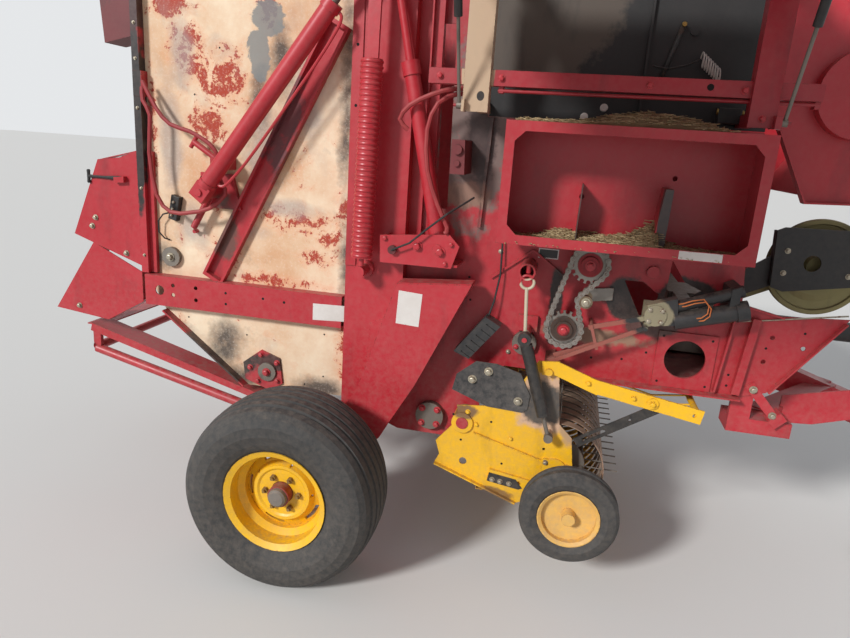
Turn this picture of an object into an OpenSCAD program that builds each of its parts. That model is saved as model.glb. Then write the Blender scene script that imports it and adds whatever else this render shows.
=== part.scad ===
// Round baler with a hinged tailgate, spring-tensioned chamber, twine box and raised pickup.
// Lengths are in millimetres. X runs forward from the axle, Z is up, the right side is -Y.

/* [Overall] */
// Reach of the rear corner shields behind the axle
rear_reach = 1375; // [1340:5:1450]
// Reach of the hitch tip ahead of the axle
front_reach = 2800; // [2700:10:3000]
// Clear width of the bale chamber between the side sheets
chamber_w = 1200; // [1150:10:1260]
// Thickness of the side sheets
sheet_t = 6; // [4:0.5:8]
// Depth of the channels that stiffen the side sheets
frame_d = 54; // [46:1:60]

/* [Main wheels] */
// Outer diameter of the main tyres
tyre_od = 787; // [760:1:800]
// Width of the main tyres
tyre_w = 343; // [300:1:350]
// Seat diameter of the main rims
rim_seat_d = 381; // [375:1:386]
// Flange diameter of the main rims
rim_flange_d = 417; // [410:1:424]
// Distance between the tyre centres
track = 2094; // [2080:2:2140]
// Diameter of the axle spindles
spindle_d = 64; // [56:1:72]

/* [Tailgate] */
// Height of the tailgate hinge above the ground
hinge_z = 2540; // [2520:5:2560]
// Distance of the tailgate hinge behind the axle
hinge_back = 20; // [10:1:30]
// Diameter of the hinge stub
hinge_d = 50; // [40:1:60]
// Height of the tailgate side beam
beam_h = 140; // [120:1:150]
// Outer diameter of the tailgate cylinder barrels
barrel_d = 70; // [60:1:76]
// Diameter of the tailgate cylinder rods
rod_d = 35; // [30:1:40]

/* [Tension] */
// Outer diameter of the closed tension spring coils
spring_d = 88; // [80:1:96]
// Wire diameter of the tension springs
spring_wire = 14; // [12:0.5:16]
// Number of coils in a tension spring
spring_coils = 38; // [30:1:44]
// Outer diameter of the density cylinder
density_d = 60; // [54:1:66]

/* [Rolls] */
// Diameter of the chamber rolls
roll_d = 150; // [130:1:160]
// Diameter of the belt rollers
idle_d = 90; // [80:1:100]

/* [Chain] */
// Pitch of the roller chain
chain_pitch = 25.4; // [25.4:0.1:26]
// Teeth on the upper sprocket
upper_teeth = 17; // [16:1:19]
// Teeth on the lower sprocket
lower_teeth = 17; // [16:1:19]
// Diameter of the idler that presses on the chain's front run
idler_d = 50; // [44:1:56]

/* [Pickup] */
// Radius of the stripper bands
band_r = 200; // [190:1:210]
// Width of one stripper band
band_w = 46; // [40:1:50]
// Spacing of the pickup tines
tine_pitch = 70; // [66:1:74]
// Radius that the tine tips reach
tine_r = 258; // [250:1:265]
// Diameter of the tine wire
tine_d = 6; // [5:0.5:7]
// Number of tine bars
tine_bars = 4; // [3:1:5]
// Half width of the pickup over its side plates
pickup_half = 740; // [735:1:750]
// Outer diameter of the gauge tyres
gauge_od = 390; // [370:1:400]
// Width of the gauge tyres
gauge_w = 100; // [90:1:110]

/* [Shields] */
// Height of the side shields below their hinge
door_h = 1300; // [1250:5:1320]
// Length of the side shields
door_l = 1290; // [1260:5:1300]
// Angle of the raised right shield above its closed pose
door_open = 75; // [70:1:78]
// Wall of the side shields
door_t = 4; // [3:0.5:6]

/* [Twine box] */
// Inside depth of the twine box
box_d = 250; // [220:5:260]
// Wall of the twine box
box_t = 3; // [2:0.5:4]
// Width of the lip around the mouth of the twine box
box_lip = 34; // [28:1:38]

/* [Hitch] */
// Diameter of the hitch pin hole
hitch_hole_d = 33; // [28:1:40]
// Gap between the two hitch plates
hitch_gap = 60; // [50:1:70]
// Height of the hitch above the ground
hitch_z = 500; // [460:5:540]

/* [Hidden] */
$fn = 48;

red = "firebrick";
deep_red = "darkred";
yellow = "gold";
tan_burnt = "burlywood";
steel = "slategray";
black = "dimgray";

run_gap = 0.05;      // running clearance on a pin's radius
seat_gap = 0.3;      // gap between curved faces of different bodies
swing_gap = 10;      // gap between panels that swing past each other

sheet_y = chamber_w / 2;
sheet_out = sheet_y + sheet_t;
frame_y = sheet_out + frame_d;
wheel_z = tyre_od / 2;
wheel_y = track / 2;
post_x = 80;                                // rear edge of the bulkhead
gate_x = post_x - swing_gap;                // front edge of the tailgate sheet
hinge_x = -hinge_back;

door_hinge = [1010, 2440];                  // |y| and z of the side shield hinges
door_pin_r = 12;
door_out = 45;                              // how far the closed shield stands out from its hinge

// Corner list of the closed shield's section as [out, down] from its hinge
door_face = [[15, 13], [28, 16], [40, 4], [door_out, -60], [door_out + 30, -door_h * 0.45], [door_out + 26,
    -door_h * 0.8],
    [door_out - 14, -door_h]];
door_section = concat(door_face, [for (i = [len(door_face) - 1:-1:0]) [door_face[i][0] - door_t,
    door_face[i][1] - (i < 2 ? door_t : 0)]]);
function turned(p, a) = [p[0] * cos(a) - p[1] * sin(a), p[0] * sin(a) + p[1] * cos(a)];
right_reach = door_hinge[0] + max([for (p = door_section) turned(p, door_open)[0]]);
left_reach = wheel_y + tyre_w / 2;
axle_x = (rear_reach - front_reach) / 2;
mid_y = (right_reach - left_reach) / 2;

// Puts a piece drawn from the axle into the frame whose origin is the middle of the footprint
module placed() translate([axle_x, mid_y, 0]) children();

// Draws a piece on the right side and again on the left
module both_sides() {
    children();
    mirror([0, 1, 0]) children();
}

// Extrudes a side-view outline outward to the right from |y| = y by t
module plate(y, t) translate([0, -y, 0]) rotate([90, 0, 0]) linear_extrude(t) children();

// Round bar across the machine from |y| = y outward to the right by l
module barrel(p, y, l, r) translate([p[0], -y, p[1]]) rotate([90, 0, 0]) cylinder(h = l, r = r);

// Side-view strip from p to q with width w, centred on the line
module strip(p, q, w) {
    d = q - p;
    translate(p) rotate(atan2(d[1], d[0])) translate([0, -w / 2]) square([norm(d), w]);
}

// Round rod between two points in space
module rod(p, q, r) {
    d = q - p;
    translate(p) rotate([0, acos(d[2] / norm(d)), atan2(d[1], d[0])]) cylinder(h = norm(d), r = r);
}

// Point at t on a smooth curve from b to c, with a and d as their neighbours
function bend(a, b, c, d, t) = 0.5 * (2 * b + (c - a) * t + (2 * a - 5 * b + 4 * c - d) * t * t
    + (3 * b - a - 3 * c + d) * t * t * t);
function smooth(p, n) = concat([for (i = [0:len(p) - 2]) for (k = [0:n - 1])
    bend(p[max(i - 1, 0)], p[i], p[i + 1], p[min(i + 2, len(p) - 1)], k / n)], [p[len(p) - 1]]);

// Hose or lead of radius r along a route, with n rings to a stretch and s sides
module hose(route, r, n, s) {
    p = smooth(route, n);
    m = len(p);
    t = [for (i = [0:m - 1]) let (d = p[min(i + 1, m - 1)] - p[max(i - 1, 0)]) d / norm(d)];
    u = [for (d = t) let (c = cross(d, [0, 1, 0])) c / norm(c)];
    ring = [for (i = [0:m - 1]) for (k = [0:s - 1])
        p[i] + r * (cos(k * 360 / s) * u[i] + sin(k * 360 / s) * cross(t[i], u[i]))];
    wall = [for (i = [0:m - 2]) for (k = [0:s - 1]) for (f = [0, 1])
        let (a = i * s + k, b = i * s + (k + 1) % s) f == 0 ? [a, a + s, b + s] : [a, b + s, b]];
    polyhedron(ring, concat(wall, [[for (k = [0:s - 1]) k]], [[for (k = [s - 1:-1:0]) (m - 1) * s + k]]));
}

// Close-wound coil spring on a line from p to q in the plane |y| = y, drawn as stacked turns
module coil(p, q, y, od, wire, turns) {
    d = q - p;
    step = norm(d) / turns;
    translate([p[0], -y, p[1]]) rotate([0, 90 - atan2(d[1], d[0]), 0]) {
        for (i = [0:turns - 1]) translate([0, 0, (i + 0.5) * step])
            rotate_extrude($fn = 24) translate([(od - wire) / 2, 0]) circle(r = wire / 2, $fn = 8);
        rotate_extrude($fn = 24) translate([(od - wire) / 2 - 1.5, 0]) square([3, norm(d)]);
    }
}

// Open box section along X between x0 and x1, with its wall
module box_x(x0, x1, y, z, w, h, t) translate([x0, y - w / 2, z - h / 2]) difference() {
    cube([x1 - x0, w, h]);
    translate([-1, t, t]) cube([x1 - x0 + 2, w - 2 * t, h - 2 * t]);
}

// Open box section along Y across both side sheets
module box_y(x, z, half, w, h, t) translate([x - w / 2, -half, z - h / 2]) difference() {
    cube([w, 2 * half, h]);
    translate([t, -1, t]) cube([w - 2 * t, 2 * half + 2, h - 2 * t]);
}

// Main frame

starter = [478, 599];            // lower front roll
floor_roll = [854, 981];         // upper front roll
big_hole = [1488, 991];
stub_pickup = [841, 1303];
stub_spring = [168, 1234];
spring_top = [190, 2055];
spring_low = [178, 1295];

lift_c = [640, 640];              // pickup lift pivot
lift_pin_d = 50;

module main_outline() polygon([[post_x, 600], [330, 505], [590, 505], [690, 615], [690, 700], [780, 866],
    [1016, 863],
    [1707, 863], [1809, 895], [2042, 1221], [1800, 1205], [1660, 1240], [1640, 1440], [1620, 1870],
    [620, 1870], [600, 2420], [post_x, 2420]]);

// Side sheet with the holes that both sides have
module side_blank() difference() {
    plate(sheet_y, sheet_t) main_outline();
    barrel(starter, sheet_y - 1, sheet_t + 2, 45);
    barrel(floor_roll, sheet_y - 1, sheet_t + 2, 30);
}

module side_sheets() placed() color(red) {
    mirror([0, 1, 0]) side_blank();
    difference() {
        side_blank();
        barrel(big_hole, sheet_y - 1, sheet_t + 2, 78);
        // Window behind the twine actuator, split by a web
        plate(sheet_y - 1, sheet_t + 2) polygon([[1217, 1284], [1290, 1150], [1340, 1140], [1352, 1240],
            [1287, 1285]]);
        plate(sheet_y - 1, sheet_t + 2) polygon([[1372, 1150], [1560, 1180], [1560, 1250], [1440, 1300],
            [1384, 1380]]);
        // Slot beside the front post and holes in the nose
        plate(sheet_y - 1, sheet_t + 2) strip([462, 1500], [452, 2200], 46);
        for (p = [[1790, 1120], [1775, 1020], [1905, 1090]]) barrel(p, sheet_y - 1, sheet_t + 2, 9);
    }
    // Square doubler around the round hole
    difference() {
        plate(sheet_out, 8) translate([1376, 870]) square([224, 230]);
        barrel(big_hole, sheet_out - 1, 10, 78);
    }
    // Eye bolt that hangs from the stub down to the lift spring
    translate([846, -744, 1298]) cylinder(h = 30, r = 9);
    translate([846, -744, 1262]) rotate([90, 0, 0]) rotate_extrude($fn = 32) translate([26,
        0]) circle(r = 6, $fn = 16);
    rod([846, -744, 1240], [860, -764, 1060], 7);
    both_sides() side_fittings();
}

// Flanges, stiffeners, stubs and lugs that both side sheets carry
module side_fittings() {
    // Folded lower flange, nose flange and the stiffeners beside the round hole
    plate(sheet_out, frame_d) strip([1016, 866], [1707, 866], 6);
    plate(sheet_out, 24) strip([1812, 900], [2030, 1206], 6);
    plate(sheet_out, 24) strip([1662, 1236], [1812, 1203], 6);
    plate(sheet_out, 30) strip([1612, 880], [1640, 1180], 8);
    plate(sheet_out, 30) strip([1690, 880], [1718, 1190], 30);
    // Folded edge that runs down to the chain and the seam above it
    plate(sheet_out, 16) strip([852, 1368], [990, 1268], 10);
    plate(sheet_out, 12) strip([690, 1240], [852, 1368], 10);
    plate(sheet_out, 20) strip([624, 1440], [640, 1868], 12);
    difference() {
        barrel(stub_pickup, sheet_out, 150, 33);
        barrel(stub_pickup, sheet_out + 20, 140, 26);
    }
    barrel(lift_c, sheet_out, pickup_half - sheet_out + 14, lift_pin_d / 2);
    // Lug and pin boss that carry the lift spring's eye
    plate(sheet_out, 20) polygon([[820, 1034], [900, 1034], [900, 1100], [820, 1100]]);
    barrel(eye_low, sheet_out, spring_eye_y - 24 - sheet_out - seat_gap, 16);
    barrel(eye_low, spring_eye_y - 24 - seat_gap, 48, 10);
    // Bearing plate beside the upper sprocket and its bosses
    plate(sheet_out, 10) polygon([[1128, 1392], [1128, 1430], [1400, 1430], [1380, 1392], [1240, 1300],
        [1170, 1300]]);
    barrel([1317, 1329], sheet_out, 26, 24);
}

post_out = frame_y + sheet_t;              // outer face of the bulkhead plate
ear_t = 14;

module bulkheads() placed() color(red) both_sides() {
    plate(frame_y, sheet_t) polygon([[post_x, 590], [post_x, 2420], [330, 2420], [330, 590]]);
    plate(sheet_out, frame_d) strip([post_x + 3, 590], [post_x + 3, 2420], 6);
    plate(sheet_out, frame_d) strip([327, 590], [327, 2420], 6);
    // Slender front post and its flange
    plate(sheet_out, 36) polygon([[388, 1330], [388, 2415], [430, 2415], [430, 1330]]);
    plate(sheet_out + 36, 24) strip([391, 1330], [391, 2415], 6);
    // Flat bar along the edge that the tailgate shuts against
    plate(post_out, 6) strip([post_x + 22, 1240], [post_x + 22, 2290], 44);
    // Anchor stub of the tension spring and its collar
    barrel(stub_spring, post_out, 100, 24);
    barrel(stub_spring, post_out, 20, 38);
    // Ear and stub that carry the tailgate
    plate(post_out, ear_t) polygon([[hinge_x - 45, hinge_z + 45], [hinge_x - 45, hinge_z - 40],
        [post_x, 2290], [300, 2290], [300, 2420], [hinge_x + 45, hinge_z + 45]]);
    barrel([hinge_x, hinge_z], sheet_out + seat_gap, post_out - sheet_out - seat_gap, hinge_d / 2);
    // Boss behind the eye of the tailgate cylinder
    barrel(frame_eye, post_out + ear_t, cyl_y - 22 - seat_gap - post_out - ear_t, 24);
}

// Cross members as [x, z, width, height]
cross_list = [[1180, 2445, 80, 60], [380, 2465, 90, 90], [1560, 1800, 60, 60]];

module cross_tubes() placed() color(deep_red) {
    for (c = cross_list) box_y(c[0], c[1], c[1] > 2400 ? sheet_out : sheet_y, c[2], c[3], 5);
    // Belly pan below the chamber and the panel behind the front rolls
    for (q = [[[1016, 872], [1690, 872]], [[700, 700], [786, 868]], [[1640, 1440], [1622, 1868]]])
        translate([0, sheet_y, 0]) plate(0, chamber_w) strip(q[0], q[1], 4);
    // Upper longerons that tie the bulkheads to the front
    both_sides() box_x(330, 1720, -sheet_y - 36, 2445, 60, 60, 4);
}

// Running gear

leg_y = 700;

module axle() placed() {
    color(red) {
        box_y(0, wheel_z, leg_y, 110, 110, 9);
        both_sides() {
            // Slanted leg with a box section and a top shelf
            plate(leg_y + 60, 6) polygon([[333, 1204], [633, 1229], [430, 780], [285, 520], [90, 330],
                [-60, 335],
                [-60, 455], [40, 500], [185, 738]]);
            plate(leg_y - 34, 6) polygon([[200, 1000], [420, 1100], [285, 520], [90, 330], [-60, 335],
                [-60, 455],
                [40, 500], [185, 738]]);
            plate(leg_y - 34, 94) strip([185, 738], [333, 1204], 6);
            plate(leg_y - 34, 94) strip([333, 1204], [633, 1229], 8);
            plate(leg_y - 34, 94) strip([285, 520], [633, 1229], 6);
            plate(leg_y - 34, 94) strip([90, 330], [285, 520], 6);
            plate(leg_y - 34, 94) strip([-60, 335], [90, 330], 6);
        }
    }
    color(steel) both_sides() {
        barrel([0, wheel_z], leg_y - 30, wheel_y + 60 - leg_y + 30, spindle_d / 2);
        // Lugs and pins of the bale ramp
        for (o = [-45, 31]) plate(ramp_half + o, 14) polygon([[-54, 360], [-54, 430], [-130, 430], [-145,
            405], [-130, 380]]);
        barrel(ramp_c, ramp_half - 45, 90, 16);
    }
}

// Main tyre section as [radius, offset] pairs, symmetrical about the middle
rib = [[394, 0], [394, 16], [384, 19], [384, 27], [393, 30], [392, 58], [382, 61], [382, 69], [390, 72],
    [386, 100],
    [376, 104], [375, 111], [381, 114], [372, 140], [352, 160], [318, 171], [280, 170], [242, 156], [216,
        141],
    [212, 137], [196, 129]];

module tyre_section() {
    k = tyre_od / 788;
    w = tyre_w / 342;
    pts = [for (p = rib) [p[0] > 250 ? p[0] * k : p[0], p[1] * w]];
    bead = rim_seat_d / 2 + seat_gap;
    polygon(concat([for (p = pts) p], [[bead, 126]], [[bead, -126]],
        [for (i = [len(pts) - 1:-1:1]) [pts[i][0], -pts[i][1]]]));
}

module main_tyre() rotate([90, 0, 0]) rotate_extrude($fn = 96) tyre_section();

module tyre_r() placed() color(black) translate([0, -wheel_y, wheel_z]) main_tyre();
module tyre_l() placed() color(black) translate([0, wheel_y, wheel_z]) main_tyre();

hub_r0 = spindle_d / 2 + 12;               // outer radius of the hub barrel

// Main wheel with its outer face towards +Z before it is turned
module main_wheel() {
    seat = rim_seat_d / 2;
    flange = rim_flange_d / 2;
    color(yellow) difference() {
        union() {
            rotate_extrude($fn = 96) polygon([[seat - 6, 133], [flange, 145], [flange, 139], [seat, 131],
                [seat - 1, 70],
                [seat - 22, 50], [seat - 22, -50], [seat - 1, -70], [seat, -131], [flange, -139], [flange,
                    -145],
                [seat - 8, -133], [seat - 8, -76], [seat - 29, -54], [seat - 29, 54], [seat - 8, 76]]);
            // Dished disc, pressed inward around the hub
            rotate_extrude($fn = 96) polygon([[hub_r0 + 2, 60], [96, 60], [104, 66], [116, 66], [130, 42],
                [seat - 24, 24],
                [seat - 24, 14], [124, 32], [112, 56], [106, 56], [98, 50], [hub_r0 + 2, 50]]);
        }
        for (i = [0:4]) rotate(i * 72 + 20) translate([0, 0, -10]) rotate_extrude(angle = 34, $fn = 96)
            translate([139, 0]) square([13, 90]);
        for (i = [0:4]) rotate(i * 72 + 73) translate([122, 0, 20]) cylinder(h = 60, r = 5);
        for (i = [0:5]) rotate(i * 60) translate([70, 0, 40]) cylinder(h = 30, r = 6 + seat_gap);
    }
}

// Hub barrel, flange, cap and wheel nuts, with the outer face towards +Z before it is turned
module main_hub() {
    color(red) difference() {
        union() {
            translate([0, 0, -60]) cylinder(h = 160, r = hub_r0);
            translate([0, 0, 36]) cylinder(h = 14, r = 88);
        }
        translate([0, 0, -61]) cylinder(h = 132, r = spindle_d / 2 + run_gap);
    }
    color(steel) {
        translate([0, 0, 100]) rotate_extrude() polygon([[0, 0], [38, 0], [36, 14], [28, 22], [0, 24]]);
        for (i = [0:5]) rotate(i * 60) {
            translate([70, 0, 60]) cylinder(h = 14, r = 12, $fn = 6);
            translate([70, 0, 50]) cylinder(h = 34, r = 6);
        }
    }
}

module wheel_r() placed() translate([0, -wheel_y, wheel_z]) rotate([90, 0, 0]) main_wheel();
module wheel_l() placed() translate([0, wheel_y, wheel_z]) rotate([-90, 0, 0]) main_wheel();
module hub_r() placed() translate([0, -wheel_y, wheel_z]) rotate([90, 0, 0]) main_hub();
module hub_l() placed() translate([0, wheel_y, wheel_z]) rotate([-90, 0, 0]) main_hub();

// Tailgate

hinge = [hinge_x, hinge_z];
gate_low = [-299, 690];                     // lower tailgate roll
gate_mid = [-770, 1180];
gate_top = [-640, 2330];

gate_back = 905;                            // rear edge of the tailgate sheet behind the axle

module gate_outline() polygon([[gate_x, 620], [gate_x, 2440], [gate_x - 40, 2590], [-640, 2600], [-800,
    2530],
    [-gate_back, 2380], [-gate_back, 1086], [-814, 923], [-410, 608]]);

module tailgate_sheets() placed() color(tan_burnt) both_sides() difference() {
    plate(sheet_y, sheet_t) gate_outline();
    barrel(hinge, sheet_y - 1, sheet_t + 2, hinge_d / 2 + 3);
    for (p = [gate_low, gate_mid, gate_top]) barrel(p, sheet_y - 1, sheet_t + 2, 24);
}

module tailgate_frame() placed() color(red) {
    both_sides() {
        // Side beam, diagonal channel, rear edge channel and lower flange
        difference() {
            plate(sheet_out, frame_d) polygon([[-884, 955], [-884, 955 + beam_h], [gate_x - 5,
                955 + beam_h],
                [gate_x - 5, 955]]);
            plate(sheet_out - 1, frame_d - 4) polygon([[-900, 961], [-900, 949 + beam_h], [gate_x + 20,
                949 + beam_h],
                [gate_x + 20, 961]]);
            barrel([-810, 1027], sheet_out + 20, 60, 22);
            for (p = [[-742, 1056], [-742, 1012], [-628, 1056], [-628, 1000]]) barrel(p, sheet_out + 20,
                60, 9);
        }
        difference() {
            plate(sheet_out, 34) strip([-560, 1100], [gate_x - 60, 2190], 100);
            plate(sheet_out + 5, 40) strip([-552, 1114], [gate_x - 68, 2176], 76);
        }
        plate(sheet_out, 42) strip([17 - gate_back, 1100], [17 - gate_back, 2370], 34);
        plate(sheet_out, 20) strip([48 - gate_back, 1100], [48 - gate_back, 1640], 30);
        // Seat and pin of the tailgate cylinder
        plate(sheet_out, 20) polygon([[-610, 1420], [-610, 1570], [-460, 1570], [-420, 1420]]);
        barrel(gate_eye, sheet_out, cyl_y - 26 - seat_gap - sheet_out, 30);
        barrel(gate_eye, cyl_y - 26 - seat_gap, 60, 15);
        plate(sheet_out, 40) strip([-811, 927], [-407, 612], 8);
        // Bearing plate of the lower roll
        difference() {
            plate(sheet_out, 10) polygon([[-410, 640], [-420, 720], [-330, 790], [-240, 760], [-225, 640],
                [-290, 600]]);
            barrel(gate_low, sheet_out - 1, 12, 44 + seat_gap);
        }
        // Hinge ear with a true bore
        difference() {
            plate(sheet_out + seat_gap, 24) polygon([[hinge_x - 60, hinge_z + 40], [hinge_x + 40,
                hinge_z + 40],
                [hinge_x + 50, hinge_z - 50], [hinge_x - 60, 2360], [hinge_x - 150, 2360]]);
            barrel(hinge, sheet_out - 10, 50, hinge_d / 2 + run_gap);
        }
    }
    // Oil port block, lock spindle, its return spring and the hose bracket
    translate([-520, -700, 1590]) cube([70, 700 - sheet_out, 50]);
    rod([-617, -660, 1696], [-490, -660, 1618], 13);
    rod([-632, -660, 1672], [-602, -660, 1720], 9);
    coil([-548, 1478], [-632, 1330], 654, 30, 5, 22);
    rod([-632, -654, 1330], [-645, -620, 1308], 5);
    rod([-645, -sheet_out, 1308], [-645, -630, 1308], 9);
    plate(sheet_out, 44) polygon([[-904, 1868], [-904, 1972], [-862, 1972], [-862, 1868]]);
    for (c = [[-860, 2080, 60, 60], [-560, 2540, 80, 60], [-200, 2540, 60, 60], [-790, 1010, 60, 60]])
        box_y(c[0], c[1], sheet_y, c[2], c[3], 4);
}

// Sheet that closes the upper back and the top of the tailgate
module tailgate_cover() placed() color(deep_red) {
    edge = [[-gate_back + 2, 1700], [-gate_back + 2, 2378], [-800, 2528], [-640, 2598], [-120, 2594]];
    for (i = [0:len(edge) - 2]) translate([0, sheet_y - seat_gap, 0]) plate(0, 2 * (sheet_y - seat_gap))
        strip(edge[i], edge[i + 1], 3);
}

module tailgate_rolls() placed() color(steel) {
    for (p = [gate_low, gate_mid, gate_top]) {
        barrel(p, -sheet_y + 12, chamber_w - 24, idle_d / 2);
        barrel(p, -sheet_out - 12, 2 * sheet_out + 24, 20);
    }
    both_sides() for (p = [gate_low, gate_mid, gate_top]) barrel(p, sheet_out, 20, 44);
}

wing_y = sheet_out + 38;                    // inner face of the corner shields' outer plate

module rear_wings() placed() color(red) both_sides() {
    // Upper and lower corner shields, each an outer plate with a folded rear and lip
    plate(wing_y, 4) polygon([[-gate_back, 1640], [-990, 1606], [-1102, 1590], [-1248, 1246], [-gate_back,
        1130]]);
    plate(wing_y - 150, 150) strip([-1101, 1590], [-1246, 1246], 4);
    plate(wing_y - 40, 40) strip([-1100, 1588], [-gate_back - 1, 1638], 4);
    plate(wing_y - 40, 40) strip([-1246, 1248], [-gate_back - 1, 1132], 4);
    plate(wing_y - 40, 40) strip([-gate_back - 2, 1640], [-gate_back - 2, 1130], 4);
    plate(wing_y, 4) polygon([[-gate_back, 1100], [-1150, 1215], [-rear_reach, 880], [-1097, 850],
        [-gate_back, 960]]);
    plate(wing_y - 150, 150) strip([-1149, 1213], [2 - rear_reach, 880], 4);
    plate(wing_y - 90, 90) strip([4 - rear_reach, 882], [-1097, 852], 4);
    plate(wing_y - 60, 60) strip([-1097, 852], [-gate_back, 962], 4);
    plate(wing_y - 40, 40) strip([-gate_back - 2, 1105], [-gate_back - 2, 965], 4);
    // Rubber latch's staple
    plate(wing_y, 26) polygon([[-1010, 1494], [-1010, 1520], [-960, 1526], [-960, 1500]]);
}

module rear_lamps() placed() color(deep_red) both_sides() {
    difference() {
        plate(sheet_out - 112, 140) polygon([[-gate_back, 2110], [-1040, 2078], [-1060, 2330], [-gate_back,
            2330]]);
        plate(sheet_out - 106, 128) polygon([[-gate_back - 6, 2118], [-1034, 2086], [-1053, 2324],
            [-gate_back - 6, 2324]]);
    }
    // Round lamps on the rear face
    for (z = [2150, 2250]) translate([-1039 - (z - 2078) * 20 / 252, -sheet_out + 42, z])
        rotate([0, -94.5, 0]) cylinder(h = 16, r = 42);
}

// Tailgate cylinders

gate_eye = [-535, 1495];
frame_eye = [105, 2345];
cyl_dir = (frame_eye - gate_eye) / norm(frame_eye - gate_eye);
cyl_len = norm(frame_eye - gate_eye);
cyl_y = 745;

module along_cyl() translate([gate_eye[0], 0, gate_eye[1]])
    rotate([0, 90 - atan2(cyl_dir[1], cyl_dir[0]), 0]) children();

module gate_barrels() placed() color(red) both_sides() translate([0, -cyl_y, 0]) {
    along_cyl() {
        difference() {
            union() {
                translate([0, 0, 30]) cylinder(h = cyl_len - 170, r = barrel_d / 2);
                translate([-35, -26, -30]) cube([70, 52, 70]);
                translate([0, 0, cyl_len - 165]) cylinder(h = 35, r = barrel_d / 2 + 5);
                translate([0, 0, 40]) cylinder(h = 16, r = barrel_d / 2 + 4);
            }
            translate([0, 0, 60]) cylinder(h = cyl_len, r = rod_d / 2 + run_gap);
            translate([0, 40, 0]) rotate([90, 0, 0]) cylinder(h = 80, r = 15 + run_gap);
        }
    }
}

// Steel oil line from the right cylinder's base to its gland, bowed away from the barrel
oil_line = [[35.6, 0, 75], [46, 0, 75.5], [58, 0, 84], [66, 0, 102], [72, 0, 140], [80, 0, 230], [82, 0,
    420],
    [80, 0, cyl_len - 364], [74, 0, cyl_len - 235], [68, 0, cyl_len - 182], [60, 0, cyl_len - 158],
    [50, 0, cyl_len - 149], [40.3, 0, cyl_len - 148]];

module oil_lines() placed() color(red) translate([0, -cyl_y, 0]) along_cyl() {
    hose(oil_line, 6.5, 2, 8);
}

module gate_rods() placed() color(steel) both_sides() translate([0, -cyl_y, 0]) {
    along_cyl() {
        translate([0, 0, 100]) cylinder(h = cyl_len - 125, r = rod_d / 2);
        difference() {
            translate([0, 22, cyl_len]) rotate([90, 0, 0]) cylinder(h = 44, r = 34);
            translate([0, 30, cyl_len]) rotate([90, 0, 0]) cylinder(h = 60, r = 15);
        }
    }
}

// Chamber rolls, springs and density cylinders

module frame_rolls() placed() color(steel) {
    for (p = [starter, floor_roll]) {
        barrel(p, -sheet_y + 12, chamber_w - 24, roll_d / 2);
        barrel(p, -sheet_out - 20, 2 * sheet_out + 40, 26);
    }
    both_sides() {
        barrel(starter, sheet_out, 30, 62);
        barrel(floor_roll, sheet_out, 24, 50);
    }
}

spring_y = 760;

module tension_springs() placed() color(red) both_sides() translate([spring_low[0], -spring_y,
    spring_low[1]])
    rotate([0, atan2(spring_top[0] - spring_low[0], spring_top[1] - spring_low[1]), 0]) {
        step = (norm(spring_top - spring_low) - 10) / spring_coils;
        r = (spring_d - spring_wire) / 2;
        rotate_extrude($fn = 32) difference() {
            translate([r - 3, 0]) square([6, step * spring_coils]);
        }
        for (i = [0:spring_coils - 1]) translate([0, 0, (i + 0.5) * step])
            rotate_extrude($fn = 32) translate([r, 0]) circle(r = spring_wire / 2, $fn = 10);
        // Hook down to the stub and strap up to the lever
        translate([0, 0, -36]) cylinder(h = 46, r = 10);
        cylinder(h = 12, r = r);
        translate([0, 0, step * spring_coils - 12]) cylinder(h = 12, r = r);
        translate([-24, -8, step * spring_coils - 2]) cube([48, 16, 300]);
    }

density_top = [324, 2047];
density_low = [480, 1380];

lever_c = [262, 2400];                      // pivot of the tension lever
density_y = 715;

module density_cylinders() placed() color(red) both_sides() {
    translate([0, -density_y, 0]) {
        difference() {
            rod([density_low[0], 0, density_low[1]], [density_top[0], 0, density_top[1]], density_d / 2);
        }
        rod([density_top[0] + 12, 0, density_top[1] - 50], [density_top[0], 0, density_top[1]],
            density_d / 2 + 5);
        rod([density_top[0], 0, density_top[1]], [density_top[0] - 62, 0, density_top[1] + 280], 16);
        rod([density_low[0] - 18, 0, density_low[1] + 76], [density_low[0], 0, density_low[1]],
            density_d / 2 + 4);
    }
    barrel([density_top[0] - 62, density_top[1] + 280], density_y - 26, 52, 30);
    // Base bracket: outer plate with two webs back to the sheet, and the base pin
    plate(density_y + 34, 10) polygon([[250, 1392], [530, 1418], [572, 1375], [545, 1285], [255, 1283]]);
    plate(post_out, density_y + 34 - post_out) strip([262, 1284], [262, 1390], 10);
    plate(sheet_out, density_y + 34 - sheet_out) strip([434, 1294], [568, 1294], 10);
    plate(sheet_out, density_y + 34 - sheet_out) polygon([[434, 1290], [434, 1330], [446, 1330], [446,
        1290]]);
    barrel([density_low[0] + 4, density_low[1] - 22], sheet_out, density_y + 50 - sheet_out, 18);
    // Tension lever, its boss and the pin through the cylinder's eye
    plate(spring_y + 8, 12) polygon([[165, 2300], [165, 2370], [240, 2440], [300, 2420], [290, 2370], [280,
        2300],
        [232, 2300]]);
    barrel(lever_c, post_out + ear_t, spring_y + 8 - post_out - ear_t, 24);
    barrel([density_top[0] - 62, density_top[1] + 280], density_y, spring_y + 24 - density_y, 14);
}

// Chain drive

upper_c = [1074, 1347];
lower_c = [1004, 1085];
chain_y = 700;

idler_c = [1076, 1201];
roller_d = 15.9;
function wheel_r_of(teeth) = chain_pitch * teeth / 360 * 180 / PI;

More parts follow.
